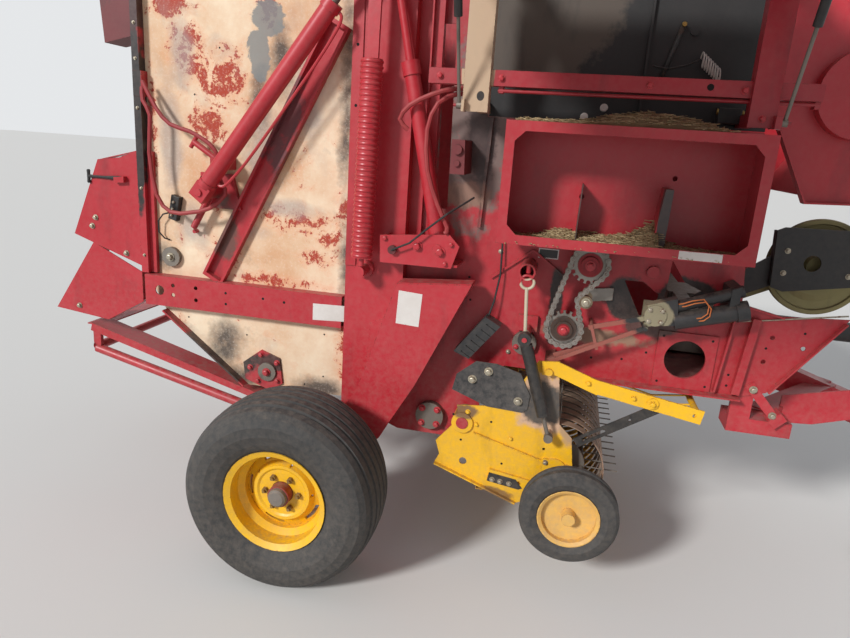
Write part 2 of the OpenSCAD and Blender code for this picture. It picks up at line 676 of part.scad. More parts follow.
// The chain's loop as [x, z, radius]; the idler bends it the other way
loop = [[upper_c[0], upper_c[1], wheel_r_of(upper_teeth)], [idler_c[0], idler_c[1], -idler_d / 2 - 8],
    [lower_c[0], lower_c[1], wheel_r_of(lower_teeth)]];
function heading(k) = let (d = [loop[(k + 1) % 3][0] - loop[k][0],
    loop[(k + 1) % 3][1] - loop[k][1]]) d / norm(d);
function span(k) = norm([loop[(k + 1) % 3][0] - loop[k][0], loop[(k + 1) % 3][1] - loop[k][1]]);
function lean(k) = (loop[k][2] - loop[(k + 1) % 3][2]) / span(k);
// Unit vector from a wheel's centre to where the chain leaves it for the next wheel
function turn_out(k) = let (u = heading(k)) lean(k) * u + sqrt(1 - lean(k) * lean(k)) * [-u[1], u[0]];
function turn_in(k) = turn_out((k + 2) % 3);
function angle_of(v) = atan2(v[1], v[0]);
function wrap(a) = a - 360 * floor(a / 360);
function sweep(k) = loop[k][2] > 0 ? wrap(angle_of(turn_in(k)) - angle_of(turn_out(k)))
    : wrap(angle_of(turn_out(k)) - angle_of(turn_in(k)));
function arc_len(k) = abs(loop[k][2]) * sweep(k) * PI / 180;
function line_len(k) = span(k) * sqrt(1 - lean(k) * lean(k));
// Length of the loop up to piece j, where even pieces are arcs and odd ones straight runs
function reach(j) = j == 0 ? 0 : reach(j - 1) + (j % 2 == 1 ? arc_len((j - 1) / 2) : line_len((j - 2) / 2));
run = reach(6);
links = 2 * round(run / chain_pitch / 2);
function on_arc(k, s) = let (a = angle_of(turn_in(k)) + (loop[k][2] > 0 ? -1 : 1) * s / abs(loop[k][2])
    * 180 / PI)
    [loop[k][0], loop[k][1]] + loop[k][2] * [cos(a), sin(a)];
function on_line(k, s) = [loop[k][0], loop[k][1]] + loop[k][2] * turn_out(k) + s * [turn_out(k)[1],
    -turn_out(k)[0]];
function chain_point(s) = let (j = len([for (i = [1:5]) if (reach(i) <= s) i]))
    j % 2 == 0 ? on_arc(j / 2, s - reach(j)) : on_line((j - 1) / 2, s - reach(j));
first_low = ceil(reach(4) / run * links) * run / links - reach(4);
lower_phase = angle_of(turn_in(2)) - first_low / loop[2][2] * 180 / PI;

module sprocket(p, teeth, phase, t) {
    r = wheel_r_of(teeth);
    translate([p[0], -chain_y, p[1]]) rotate([90, 0, 0]) difference() {
        cylinder(h = t, r = r + 5);
        for (i = [0:teeth - 1]) rotate(phase + i * 360 / teeth) translate([r, 0, -1])
            cylinder(h = t + 2, r = roller_d / 2 + 0.5, $fn = 16);
    }
    barrel(p, sheet_out, chain_y - sheet_out + 30, 34);
}

module chain_drive() placed() color(steel) {
    sprocket(upper_c, upper_teeth, angle_of(turn_in(0)), 8);
    sprocket(lower_c, lower_teeth, lower_phase, 8);
    barrel(lower_c, chain_y + 8, 10, 50);
    barrel(upper_c, chain_y + 8, 6, 46);
    // Idler on its arm
    barrel(idler_c, chain_y - 8, 24, idler_d / 2);
    barrel(idler_c, sheet_out, chain_y + 30 - sheet_out, 10);
    plate(sheet_out, 12) polygon([[1060, 1180], [1060, 1222], [1100, 1240], [1180, 1250], [1180, 1200]]);
    // Roller chain: plates in turn outside and inside, with a roller and pin at each joint
    for (i = [0:links - 1]) {
        a = chain_point(i * run / links);
        b = chain_point((i + 1) % links * run / links);
        for (side = [0, 1]) plate(chain_y + 4 + (side == 0 ? -12 - (i % 2) * 3 : 9 + (i % 2) * 3),
            3) union() {
            translate(a) circle(r = 11, $fn = 24);
            translate(b) circle(r = 11, $fn = 24);
            strip(a, b, 15);
        }
        barrel(a, chain_y + 4 - 9, 18, roller_d / 2);
        barrel(a, chain_y + 4 - 16, 34, 4.5);
    }
}

// Twine box, actuator and controller

box_tl = [729, 1851];
box_br = [1587, 1432];
box_front = 950;

module twine_box() placed() color(red) {
    for (x = [box_tl[0] + 40, box_br[0] - 70]) for (z = [box_br[1] + 40, box_tl[1] - 70])
        plate(sheet_out, box_front - box_d - sheet_out) translate([x, z]) square(30);
    difference() {
        plate(box_front - box_d, box_d) polygon([box_tl, [box_br[0], box_tl[1]], box_br, [box_tl[0],
            box_br[1]]]);
        plate(box_front - box_d + box_t, box_d - 2 * box_t) mouth(box_t, 0.01);
        plate(box_front - 2 * box_t, 4 * box_t) mouth(box_lip, 34);
        for (p = [[1010, 1600], [1330, 1690]]) barrel(p, box_front - box_d - 1, box_t + 2, 9);
    }
    // Dividers that keep the balls apart
    plate(box_front - box_d + box_t, 150) strip([1003, box_br[1] + box_t], [1008, 1651], 3);
    plate(box_front - box_d + box_t, 120) polygon([[1268, box_br[1] + box_t], [1312, box_br[1] + box_t],
        [1317, 1655],
        [1290, 1655]]);
}

// Side view of the box opening, set in by a lip and with chamfered corners
module mouth(lip, cut) {
    x0 = box_tl[0] + lip;
    x1 = box_br[0] - lip;
    z0 = box_br[1] + lip;
    z1 = box_tl[1] - lip;
    polygon([[x0, z0 + cut], [x0 + cut, z0], [x1 - cut, z0], [x1, z0 + cut], [x1, z1 - cut], [x1 - cut, z1],
        [x0 + cut, z1], [x0, z1 - cut]]);
}

module twine_actuator() placed() {
    color(steel) {
        // Cast gear housing with its two ends
        barrel([1330, 1190], 700, 66, 40);
        plate(704, 56) polygon([[1296, 1226], [1400, 1262], [1416, 1160], [1320, 1150]]);
    }
    color(black) {
        // Push tube and motor, held by a bracket at the front
        rod([1390, -732, 1222], [1625, -732, 1312], 22);
        rod([1400, -738, 1172], [1640, -738, 1240], 33);
        rod([1610, -738, 1231.5], [1650, -738, 1243], 38);
        plate(sheet_out, 150) polygon([[1580, 1200], [1612, 1206], [1612, 1330], [1580, 1316]]);
        plate(sheet_out, 98) polygon([[1300, 1120], [1340, 1140], [1340, 1215], [1300, 1215]]);
    }
    color(red) {
        // Link bars to the twine arm's crank
        plate(712, 6) strip([1098, 1104], [1336, 1176], 18);
        plate(720, 6) strip([962, 945], [1310, 1132], 16);
        plate(700, 24) strip([1106, 1116], [1140, 1020], 12);
        plate(700, 8) strip([980, 968], [1140, 1040], 24);
        plate(sheet_out, 114) polygon([[946, 910], [984, 920], [984, 968], [946, 956]]);
        barrel([1110, 1108], sheet_out, 112, 8);
        barrel([1306, 1130], sheet_out, 136, 9);
    }
}

module controller_box() placed() color(black) {
    difference() {
        plate(sheet_out + 30, 70) polygon([[693, 1094], [756, 1060], [639, 908], [574, 934]]);
        for (i = [0:5]) plate(sheet_out + 94, 10) strip([604 + i * 19, 940 + i * 25], [650 + i * 19,
            912 + i * 25], 5);
    }
    for (p = [[688, 1040], [640, 960]]) barrel(p, sheet_out, 31, 12);
}

// Valve and sensor block beside the density cylinder
module hydraulic_block() placed() color(black) {
    plate(sheet_out, 176) polygon([[516, 1650], [516, 1776], [566, 1776], [572, 1650]]);
    barrel([541, 1740], sheet_out + 176, 14, 18);
    barrel([541, 1690], sheet_out + 176, 10, 12);
    // Round sensor on the density bracket
    barrel([307, 1340], density_y + 44, 22, 17);
}

// Routes of the hoses and leads, point by point as [x, y, z]
gate_hose_a = [[-852, -661, 1905], [-838, -680, 1850], [-800, -690, 1790], [-808, -694, 1640],
    [-781, -694, 1462], [-716, -694, 1394], [-619, -696, 1400], [-530, -696, 1425], [-455, -694, 1490],
    [-470, -692, 1530], [-492, -684, 1562], [-499, -680.5, 1578], [-500, -680, 1589.6]];
gate_hose_b = [[-851, -660, 1930], [-779, -680, 1825], [-711, -686, 1762], [-620, -686, 1738], [-552, -684,
    1706],
    [-518, -684, 1682], [-502, -682, 1660], [-500, -680.5, 1650], [-500, -680, 1640.5]];
frame_hose_a = [[590, -607.4, 1968], [582, -655, 1968], [556, -702, 1962], [500, -740, 1955], [425, -762,
    1930], [345, -766, 1888], [306, -755,
    1836],
    [338, -747, 1800]];
frame_hose_b = [[600, -607, 1935], [594, -655, 1936], [570, -700, 1938], [520, -730, 1940], [452, -765,
    1900], [419, -772, 1803], [430, -776,
    1657],
    [478, -772, 1529], [520, -768, 1446], [512, -765, 1423]];
lead_a = [[307, -785, 1340], [330, -790, 1352], [380, -792, 1376], [450, -790, 1440], [520, -786, 1500],
    [600, -660, 1560]];
lead_b = [[700.7, -660, 1091.9], [716, -650, 1150], [730, -636, 1260], [726, -628, 1380], [712, -628,
    1470]];

module gate_hoses() placed() color(red) {
    hose(gate_hose_a, 9, 2, 8);
    hose(gate_hose_b, 9, 2, 8);
}
module frame_hoses() placed() color(red) {
    hose(frame_hose_a, 9, 2, 8);
    hose(frame_hose_b, 9, 2, 8);
}
module wiring() placed() color(black) {
    hose(lead_a, 4, 1, 6);
    hose(lead_b, 4, 1, 6);
}

// Pickup

reel_c = [1035, 490];
rod_low = [996, 654];
eye_low = [862, 1050];
spring_eye_y = pickup_half + 60;

module pickup_frame() placed() color(yellow) {
    both_sides() {
        difference() {
            plate(pickup_half - 6, 6) polygon([[612, 713], [622, 650], [533, 540], [552, 480], [533, 437],
                [894, 309],
                [1120, 420], [1090, 640], [1037, 691], [800, 735]]);
            barrel(reel_c, pickup_half - 20, 40, 30 + run_gap);
            barrel(lift_c, pickup_half - 20, 40, lift_pin_d / 2 + run_gap);
            barrel([656, 464], pickup_half - 20, 40, 16);
            for (p = [[846, 600], [985, 575]]) barrel(p, pickup_half - 20, 40, 6);
        }
        // Folded edge along the top half and along the lower edge
        plate(pickup_half, 12) strip([690, 604], [1000, 520], 5);
        plate(pickup_half - 6, 24) strip([535, 439], [893, 312], 6);
        // Lug that carries the windguard arm
        plate(pickup_half - 6, 6) polygon([[800, 733], [925, 950], [1005, 950], [1035, 690]]);
        barrel(guard_c, pickup_half, 30, 15);
        difference() {
            union() {
                barrel(lift_c, sheet_out + 40, pickup_half - sheet_out - 46, 45);
                barrel(lift_c, pickup_half, 10, 45);
            }
            barrel(lift_c, sheet_out, 200, lift_pin_d / 2 + run_gap);
        }
        // Lobed bearing cover in two steps
        difference() {
            plate(pickup_half, 10) union() {
                translate(reel_c) circle(r = 52);
                for (a = [20, 140, 260]) translate(reel_c + 50 * [cos(a), sin(a)]) circle(r = 17);
            }
            barrel(reel_c, pickup_half - 1, 8, 30 + run_gap + 1);
        }
        // Gauge wheel arm with its row of holes, and its stub
        difference() {
            plate(pickup_half, 12) strip([770, 425], [1120, 372], 56);
            for (x = [800, 850, 900]) barrel([x, 425 - (x - 800) * 0.15], pickup_half - 1, 14, 8);
        }
        barrel(gauge_c, pickup_half, 130, 15);
        barrel(rod_low, pickup_half, spring_eye_y - 14 - seat_gap - pickup_half, 14);
    }
    box_y(800, 745, pickup_half - 6, 60, 60, 4);
}

// Rubber flap that closes the gap above the pickup's side, in the bolted shape it has on both sides
module pickup_flaps() placed() color(black) both_sides() difference() {
    plate(pickup_half, 6) polygon([[586, 782], [600, 850], [676, 915], [760, 915], [860, 888], [905,
        800], [900, 740],
        [880, 722], [735, 728]]);
    barrel(guard_c, pickup_half, 20, 20);
}

module band_outline() {
    difference() {
        translate(reel_c) circle(r = band_r, $fn = 72);
        translate(reel_c) circle(r = band_r - 3, $fn = 72);
        translate(reel_c - [band_r + 10, band_r + 10]) square([band_r + 10, 2 * band_r + 20]);
    }
    strip(reel_c + [1, band_r - 1.5], [832, 738], 3);
    strip(reel_c + [1, 1.5 - band_r], [748, 352], 3);
}

module pickup_bands() placed() color(yellow) {
    n = floor((2 * pickup_half - 80) / tine_pitch);
    for (i = [0:n]) translate([0, (i - n / 2) * tine_pitch + band_w / 2, 0]) plate(0,
        band_w) band_outline();
    box_y(735, 355, pickup_half - 6, 30, 30, 3);
    translate([830, -pickup_half + 40, 722]) cube([2, 2 * pickup_half - 80, 30]);
}

module pickup_reel() placed() color(steel) {
    n = floor((2 * pickup_half - 80) / tine_pitch);
    translate([reel_c[0], 0, reel_c[1]]) {
        rotate([90, 0, 0]) cylinder(h = 2 * pickup_half + 10, r = 30, center = true);
        for (b = [0:tine_bars - 1]) rotate([0, b * 360 / tine_bars, 0]) {
            translate([110, 0, 0]) rotate([90, 0, 0]) cylinder(h = 2 * pickup_half - 60, r = 12,
                center = true);
            for (i = [0:n - 1]) translate([110, (i + 0.5 - n / 2) * tine_pitch, 0])
                rotate([0, 90, 0]) cylinder(h = tine_r - 110, r = tine_d / 2, $fn = 16);
        }
        for (s = [-1, 0, 1]) translate([0, s * (pickup_half - 60), 0]) rotate([90, 0, 0])
            cylinder(h = 8, r = 124, center = true);
    }
}

guard_c = [969, 916];

module windguard() placed() color(yellow) {
    both_sides() {
        difference() {
            plate(pickup_half + 12, 8) union() {
                strip([940, 928], [1010, 935], 56);
                strip([990, 936], [1171, 872], 56);
                strip([1150, 880], [1560, 812], 56);
                translate([1171, 876]) circle(r = 28);
            }
            barrel(guard_c, pickup_half, 60, 15 + run_gap);
            barrel([1530, 817], pickup_half, 60, 7);
        }
        barrel([1372, 844], pickup_half + 20, 8, 22);
    }
    rod([1545, seat_gap - pickup_half - 12, 815], [1545, pickup_half + 12 - seat_gap, 815], 13);
    // Spring wires that hold the crop down
    for (i = [-6:6]) {
        rod([1545, i * 105, 815], [1398, i * 105, 794.7], 4);
        rod([1404, i * 105, 794], [1200, i * 105, 842], 3.8);
    }
}

// Slotted stop links bolted to the inner faces of the windguard arms
module guard_struts() placed() color(black) both_sides() difference() {
    plate(pickup_half + 6, 6) strip([1105, 628], [1394, 822], 40);
    plate(pickup_half + 5, 8) strip([1130, 645], [1213, 700.6], 14);
    for (p = [[1300, 759], [1380, 812.6]]) barrel(p, pickup_half + 5, 8, 5);
}

lift_len = norm(eye_low - rod_low);

module along_lift() translate([eye_low[0], -spring_eye_y, eye_low[1]])
    rotate([0, 180 - atan2(rod_low[0] - eye_low[0], eye_low[1] - rod_low[1]), 0]) children();

module lift_springs() placed() color(black) both_sides() along_lift() difference() {
    union() {
        translate([0, 0, 24]) cylinder(h = lift_len - 120, r = 24);
        translate([0, 20, 0]) rotate([90, 0, 0]) cylinder(h = 40, r = 26);
    }
    translate([0, 30, 0]) rotate([90, 0, 0]) cylinder(h = 60, r = 10 + run_gap);
    translate([0, 0, 60]) cylinder(h = lift_len, r = 8 + run_gap);
}

module lift_rods() placed() color(steel) both_sides() along_lift() {
    translate([0, 0, 90]) cylinder(h = lift_len - 90, r = 8);
    translate([0, 14, lift_len]) rotate([90, 0, 0]) cylinder(h = 28, r = 18);
}

gauge_c = [1110, 370];
gauge_y = 860;

module gauge_tyre() rotate([90, 0, 0]) rotate_extrude($fn = 72) polygon([[116 + seat_gap, -33],
    [124.5, -41], [150, -50], [182, -44], [195, -30], [195, -12], [189, -8], [189, 8], [195, 12],
    [195, 30], [182, 44], [150, 50], [124.5, 41], [116 + seat_gap, 33]]);

module gauge_wheel() rotate([90, 0, 0]) difference() {
    union() {
        rotate_extrude($fn = 72) polygon([[106, -36], [118, -44], [122, -44], [116, -34], [116, 34], [122,
            44],
            [118, 44], [106, 36]]);
        rotate_extrude($fn = 72) polygon([[20, 0], [110, 14], [110, 8], [20, -6]]);
        cylinder(h = 100, r = 26, center = true);
    }
    translate([0, 0, -60]) cylinder(h = 100, r = 15 + run_gap);
}

module gauge_tyre_r() placed() color(black) translate([gauge_c[0], -gauge_y, gauge_c[1]]) gauge_tyre();
module gauge_tyre_l() placed() color(black) translate([gauge_c[0], gauge_y, gauge_c[1]]) gauge_tyre();
module gauge_wheel_r() placed() color(yellow) translate([gauge_c[0], -gauge_y, gauge_c[1]]) gauge_wheel();
module gauge_wheel_l() placed() color(yellow) translate([gauge_c[0], gauge_y, gauge_c[1]])
    mirror([0, 1, 0]) gauge_wheel();

// Drawbar, hitch, jack and driveline

tongue_w = 120;
tongue_a = [1730, 900];                     // root and end of the tongue's centreline
tongue_b = [front_reach - 170, 600];
jack_c = [2570, -150];
jack_d = 60;

module drawbar() placed() color(red) {
    d = tongue_b - tongue_a;
    difference() {
        translate([tongue_a[0], 0, tongue_a[1]]) rotate([0, -atan2(d[1], d[0]), 0])
            box_x(0, norm(d) + 60, 0, 0, tongue_w, tongue_w, 8);
        translate([front_reach - 160, -100, 0]) cube([200, 200, 1000]);
    }
    box_y(tongue_a[0] - 20, tongue_a[1] + 25, sheet_y, 90, 90, 6);
    both_sides() {
        // Channel-section arms of the A-frame, open below
        translate([1870, -520, 700]) rotate([0, 0, 50]) difference() {
            cube([640, 100, 90]);
            translate([-1, 7, -1]) cube([700, 86, 84]);
        }
        // Plate that joins the arm to the side sheet, and the strap with its square washer
        translate([1690, -sheet_y, 715]) cube([240, 130, 60]);
        translate([1690, -sheet_y, 715]) cube([80, 20, 165]);
        plate(sheet_out, 10) strip([1742, 923], [1862, 790], 36);
        plate(sheet_y - 40, sheet_out + 20 - sheet_y + 40) strip([1845, 770], [1885, 812], 40);
        plate(430, 8) polygon([[1925, 720], [1925, 840], [2200, 905], [2280, 800], [2060, 730]]);
    }
    // Sleeve that guides the jack leg
    difference() {
        translate([jack_c[0], jack_c[1], 470]) cylinder(h = 420, r = jack_d / 2 + 8);
        translate([jack_c[0], jack_c[1], 460]) cylinder(h = 500, r = jack_d / 2 + run_gap);
    }
    translate([jack_c[0] - 30, jack_c[1] + jack_d / 2 + 4, 590]) cube([60, 62, 60]);
}

module hitch_clevis() placed() color(steel) difference() {
    union() {
        for (s = [0, 1]) translate([front_reach - 158, -50,
            hitch_z - hitch_gap / 2 - 20 + s * (hitch_gap + 20)])
            cube([158, 100, 20]);
        translate([front_reach - 160, -60, hitch_z - hitch_gap / 2 - 20]) cube([20, 120, 220]);
    }
    translate([front_reach - 45, 0, 0]) cylinder(h = 1000, r = hitch_hole_d / 2);
}

jack_top = 860;

module jack_leg() placed() color(steel) translate([jack_c[0], jack_c[1], 0]) {
    cylinder(h = 12, r = 90);
    cylinder(h = jack_top, r = jack_d / 2);
}

pto_z = 1040;
pto_x = 1760;

module gearbox() placed() color(steel) {
    translate([1460, -130, pto_z - 150]) cube([204, 260, 280]);
    translate([1480, -sheet_y, pto_z + 50]) cube([60, 2 * sheet_y, 80]);
    translate([1663, 0, pto_z]) rotate([0, 90, 0]) cylinder(h = 96, r = 60);
    translate([1663, 0, pto_z]) rotate([0, 90, 0]) cylinder(h = 156, r = 17);
}

module pto_shaft() placed() color(black) difference() {
    union() {
        translate([pto_x + 1, 0, pto_z]) rotate([0, 90, 0]) cylinder(h = 130, r1 = 80, r2 = 60);
        translate([pto_x + 120, 0, pto_z]) rotate([0, 90, 0]) cylinder(h = 660, r = 45);
    }
    translate([pto_x - 50, 0, pto_z]) rotate([0, 90, 0]) cylinder(h = 120, r = 17 + run_gap);
    translate([pto_x + 300, 0, pto_z]) rotate([0, 90, 0]) cylinder(h = 600, r = 36 + run_gap);
}

module pto_inner() placed() color(black) {
    translate([pto_x + 400, 0, pto_z]) rotate([0, 90, 0]) cylinder(h = 430, r = 36);
    translate([pto_x + 820, 0, pto_z]) rotate([0, 90, 0]) cylinder(h = 110, r1 = 60, r2 = 80);
}

// Black driveline holder plate with its hole, folded lip and arm back to the gearbox beam
module pto_holder() placed() color(black) {
    difference() {
        plate(238, 8) polygon([[1850, 1255], [1835, 1497], [1865, 1512], [2160, 1520], [2190, 1290], [1900,
            1240]]);
        barrel([1994, 1370], 230, 30, 34);
    }
    plate(200, 38) strip([1852, 1258], [1838, 1495], 8);
    plate(200, 38) strip([1905, 1244], [2185, 1292], 8);
    plate(200, 12) polygon([[1540, 1095], [1540, 1165], [1850, 1390], [1860, 1256]]);
}

// Belt pulley behind the holder, spoked by its stepped disc
module drive_pulley() placed() color(steel) {
    translate([2045, -140, 1345]) rotate([90, 0, 0]) rotate_extrude($fn = 96) polygon([[0, 0], [205, 0],
        [208, 6], [196, 14],
        [208, 22], [205, 28], [188, 28], [184, 18], [150, 14], [120, 24], [60, 24], [50, 40], [0, 40]]);
    barrel([2045, 1345], 60, 81, 26);
    plate(60, 20) polygon([[1664, 1095], [1664, 1165], [2010, 1380], [2080, 1330], [2050, 1290]]);
}

module hood() placed() color(deep_red) {
    both_sides() {
        plate(sheet_y, sheet_t) polygon([[1650, 2500], [1640, 1960], [1660, 1880], [1788, 1633], [1952,
            1640], [2050, 1800],
            [1960, 2250], [1800, 2500]]);
        plate(sheet_out, 30) strip([1790, 1635], [1952, 1642], 6);
        plate(sheet_out, 44) strip([1662, 1880], [1788, 1637], 6);
        // Rounded bulge over the belt drive
        difference() {
            plate(sheet_out, 50) translate([1905, 2010]) circle(r = 150);
            plate(sheet_out - 1, 46) translate([1905, 2010]) circle(r = 144);
        }
        plate(sheet_out, 8) strip([1945, 1790], [2005, 1660], 44);
    }
    translate([0, sheet_y, 0]) plate(0, chamber_w) strip([2050, 1800], [1960, 2250], 4);
    translate([0, sheet_y, 0]) plate(0, chamber_w) strip([1960, 2250], [1800, 2500], 4);
    translate([0, sheet_y, 0]) plate(0, chamber_w) strip([1952, 1640], [2050, 1800], 4);
    translate([0, sheet_y, 0]) plate(0, chamber_w) strip([1650, 2498], [1800, 2498], 4);
}

// Dark boards that close the upper front chamber inside the shields
module inner_boards() placed() color(black) both_sides() {
    plate(sheet_y, sheet_t) polygon([[624, 1872], [603, 2415], [1636, 2415], [1622, 1872]]);
    plate(sheet_out, 20) strip([1180, 1890], [1180, 2400], 8);
    barrel([1330, 2200], sheet_out, 10, 16);
}

// Side shields

arm_list = [608, 1538];                     // x of the outrigger arms

module door_frame() placed() color(red) both_sides() {
    difference() {
        plate(820, 50) polygon([[433, 1962], [433, 2014], [1709, 2014], [1709, 1962]]);
        plate(819, 47) polygon([[432, 1966], [432, 2010], [1710, 2010], [1710, 1966]]);
        barrel([1370, 1990], 860, 20, 11);
    }
    // Control rod below the rail
    rod([679, -850, 1948], [1709, -850, 1954], 6.5);
    for (x = [690, 1700]) plate(820, 36) translate([x - 8, 1940]) square([16, 24]);
    // Front post and the plain bracket behind it, both channels open to the rear
    difference() {
        plate(830, 60) polygon([[1496, 1872], [1496, 2415], [1579, 2415], [1579, 1872]]);
        plate(829, 56) polygon([[1501, 1871], [1501, 2416], [1574, 2416], [1574, 1871]]);
    }
    difference() {
        plate(830, 60) polygon([[563, 1872], [563, 2415], [653, 2415], [653, 1872]]);
        plate(829, 56) polygon([[568, 1871], [568, 2416], [648, 2416], [648, 1871]]);
    }
    for (x = arm_list) {
        translate([x - 30, -985, 2415]) cube([60, 985 - sheet_out - 60, 60]);
        translate([x - 12, -door_hinge[0], door_hinge[1] - 10]) cube([24, 40, 20]);
    }
    translate([door_x0 + 10, -door_hinge[0], door_hinge[1]]) rotate([0, 90, 0])
        cylinder(h = door_l - 20, r = door_pin_r);
    for (x = strut_x) translate([x + (x < 1000 ? 9 + seat_gap : -29 - seat_gap), -strut_low[0] - 15,
        strut_low[1] - 20])
        cube([x < 1000 ? 10 : 20, 30, 40]);
    for (x = strut_x) translate([x - 20, -strut_low[0], strut_low[1]]) rotate([0, 90, 0]) cylinder(h = 40,
        r = 5);
    // Stays from the side sheet to the posts
    for (x = arm_list) translate([x - 20, -886, 1880]) cube([40, 886 - sheet_out, 40]);
}

door_x0 = 450;
knuckles = [700, 1100, 1400];               // x of the hinge knuckles
strut_pin = [30, -170];                     // upper strut eye from the hinge on the closed shield

// Shield drawn on the right side in its closed pose
module door_panel() {
    translate([door_x0, -door_hinge[0], door_hinge[1]]) rotate([90, 0, 90]) linear_extrude(door_l)
        polygon([for (p = door_section) [-p[0], p[1]]]);
    for (x = knuckles) translate([x, -door_hinge[0], door_hinge[1]]) rotate([0, 90, 0]) difference() {
        cylinder(h = 80, r = 18);
        translate([0, 0, -1]) cylinder(h = 82, r = door_pin_r + run_gap);
    }
    // Brackets that hold the strut pins
    for (x = strut_x) translate([x + (x < 1000 ? -19 - seat_gap : 9 + seat_gap),
        -door_hinge[0] - strut_pin[0] - 20,
        door_hinge[1] + strut_pin[1] - 20]) cube([10, 36, 40]);
}

module door_turned(a) translate([0, -door_hinge[0], door_hinge[1]]) rotate([-a, 0, 0])
    translate([0, door_hinge[0], -door_hinge[1]]) children();

module door_r() placed() color(deep_red) door_turned(door_open) door_panel();
module door_l() placed() color(deep_red) mirror([0, 1, 0]) door_panel();

strut_low = [905, 1890];
strut_x = [555, 1600];
strut_d = 28;
strut_rod_d = 12;
strut_tube = 290;                           // length of the strut's bore from its door eye
strut_neck = 62;                            // from the door eye to the thick tube

strut_shut = door_hinge + strut_pin;
strut_wide = door_hinge + turned(strut_pin, door_open);

// Draws along the strut from its door pin down to its lower eye
module along_strut(top) for (x = strut_x) translate([x, -top[0], top[1]])
    rotate([atan2(top[0] - strut_low[0], top[1] - strut_low[1]) + 180, 0, 0]) children();

module strut_tube_part() {
    difference() {
        union() {
            translate([0, 0, strut_neck]) cylinder(h = strut_tube + 18 - strut_neck, r = strut_d / 2);
            translate([-9, 0, 0]) rotate([0, 90, 0]) cylinder(h = 18, r = 12);
            translate([-8, -8, 0]) cube([16, 16, strut_neck + 6]);
        }
        translate([0, 0, 40]) cylinder(h = strut_tube, r = strut_rod_d / 2 + run_gap);
    }
}

module strut_rod_part(top) {
    l = norm(top - strut_low);
    difference() {
        union() {
            translate([0, 0, l - 340]) cylinder(h = 330, r = strut_rod_d / 2);
            translate([-9, 0, l]) rotate([0, 90, 0]) cylinder(h = 18, r = 12);
        }
        translate([-20, 0, l]) rotate([0, 90, 0]) cylinder(h = 40, r = 5 + run_gap);
    }
}

module strut_barrels_r() placed() color(black) along_strut(strut_wide) strut_tube_part();
module strut_rods_r() placed() color(steel) along_strut(strut_wide) strut_rod_part(strut_wide);
module strut_barrels_l() placed() color(black) mirror([0, 1, 0]) along_strut(strut_shut) strut_tube_part();
module strut_rods_l() placed() color(steel) mirror([0, 1,
    0]) along_strut(strut_shut) strut_rod_part(strut_shut);

// Bale ramp

ramp_c = [-115, 405];                       // ramp hinge behind the axle beam
ramp_tip = [-1250, 668];
ramp_half = 560;

module bale_ramp() placed() color(red) {
    both_sides() {
        difference() {
            union() {
                rod([ramp_c[0], -ramp_half, ramp_c[1]], [ramp_tip[0], -ramp_half, ramp_tip[1]], 22);
                barrel(ramp_c, ramp_half - 25, 50, 30);
            }
            barrel(ramp_c, ramp_half - 30, 60, 16 + run_gap);
        }
        plate(ramp_half - 20, 40) strip([-300, 530], [ramp_tip[0], 780], 44);
        plate(ramp_half - 10, 20) strip([ramp_tip[0] + 20, 790], [ramp_tip[0] + 20, 665], 40);
        plate(ramp_half - 10, 20) strip([-330, 540], [-330, 455], 40);
        // Wide sliding plate on top of each arm
        translate([0, 62, 0]) plate(ramp_half, 120) strip([-290, 556], [ramp_tip[0] + 30, 808], 6);
    }
    rod([ramp_tip[0], -ramp_half, ramp_tip[1]], [ramp_tip[0], ramp_half, ramp_tip[1]], 22);
    both_sides() translate([ramp_tip[0], -ramp_half, ramp_tip[1]]) sphere(r = 25);
    translate([ramp_tip[0] - 20, -ramp_half - 20, 790]) cube([90, 2 * ramp_half + 40, 6]);
}

side_sheets();
bulkheads();
cross_tubes();
axle();
tyre_r();
tyre_l();
wheel_r();
wheel_l();
hub_r();
hub_l();
tailgate_sheets();
tailgate_frame();
tailgate_rolls();
rear_wings();
rear_lamps();
gate_barrels();
oil_lines();
gate_rods();
frame_rolls();
tension_springs();
density_cylinders();
chain_drive();
twine_box();
twine_actuator();
controller_box();
hydraulic_block();
gate_hoses();
frame_hoses();
wiring();
pickup_frame();
pickup_flaps();
guard_struts();
pickup_bands();
pickup_reel();
windguard();
lift_springs();
lift_rods();
gauge_tyre_r();
gauge_tyre_l();
gauge_wheel_r();
gauge_wheel_l();
drawbar();
hitch_clevis();
jack_leg();
gearbox();
pto_shaft();
pto_inner();
pto_holder();
drive_pulley();
inner_boards();
tailgate_cover();
hood();
door_frame();
door_r();
door_l();
strut_barrels_r();
strut_barrels_l();
strut_rods_r();
strut_rods_l();
bale_ramp();
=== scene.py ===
import bpy, bmesh, math, random
from mathutils import Matrix, Vector


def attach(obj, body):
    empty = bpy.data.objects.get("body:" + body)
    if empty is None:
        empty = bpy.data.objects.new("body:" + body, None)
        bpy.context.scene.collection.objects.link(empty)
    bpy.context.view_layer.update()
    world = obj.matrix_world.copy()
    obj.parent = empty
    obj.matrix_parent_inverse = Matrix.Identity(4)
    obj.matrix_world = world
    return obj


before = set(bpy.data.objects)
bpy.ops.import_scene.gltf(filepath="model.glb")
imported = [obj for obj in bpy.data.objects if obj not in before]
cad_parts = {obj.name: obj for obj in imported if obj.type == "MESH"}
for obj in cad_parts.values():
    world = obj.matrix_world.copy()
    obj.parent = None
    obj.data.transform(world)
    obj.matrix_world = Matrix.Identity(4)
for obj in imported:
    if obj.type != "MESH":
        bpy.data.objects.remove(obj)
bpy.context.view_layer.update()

# Places on the machine are noted in millimetres from the middle of the axle, as a maker's
# drawing has them: x forward, y to the left, z up. The row's own frame starts elsewhere.
AXLE_X, AXLE_Y = -0.7125, 0.527613


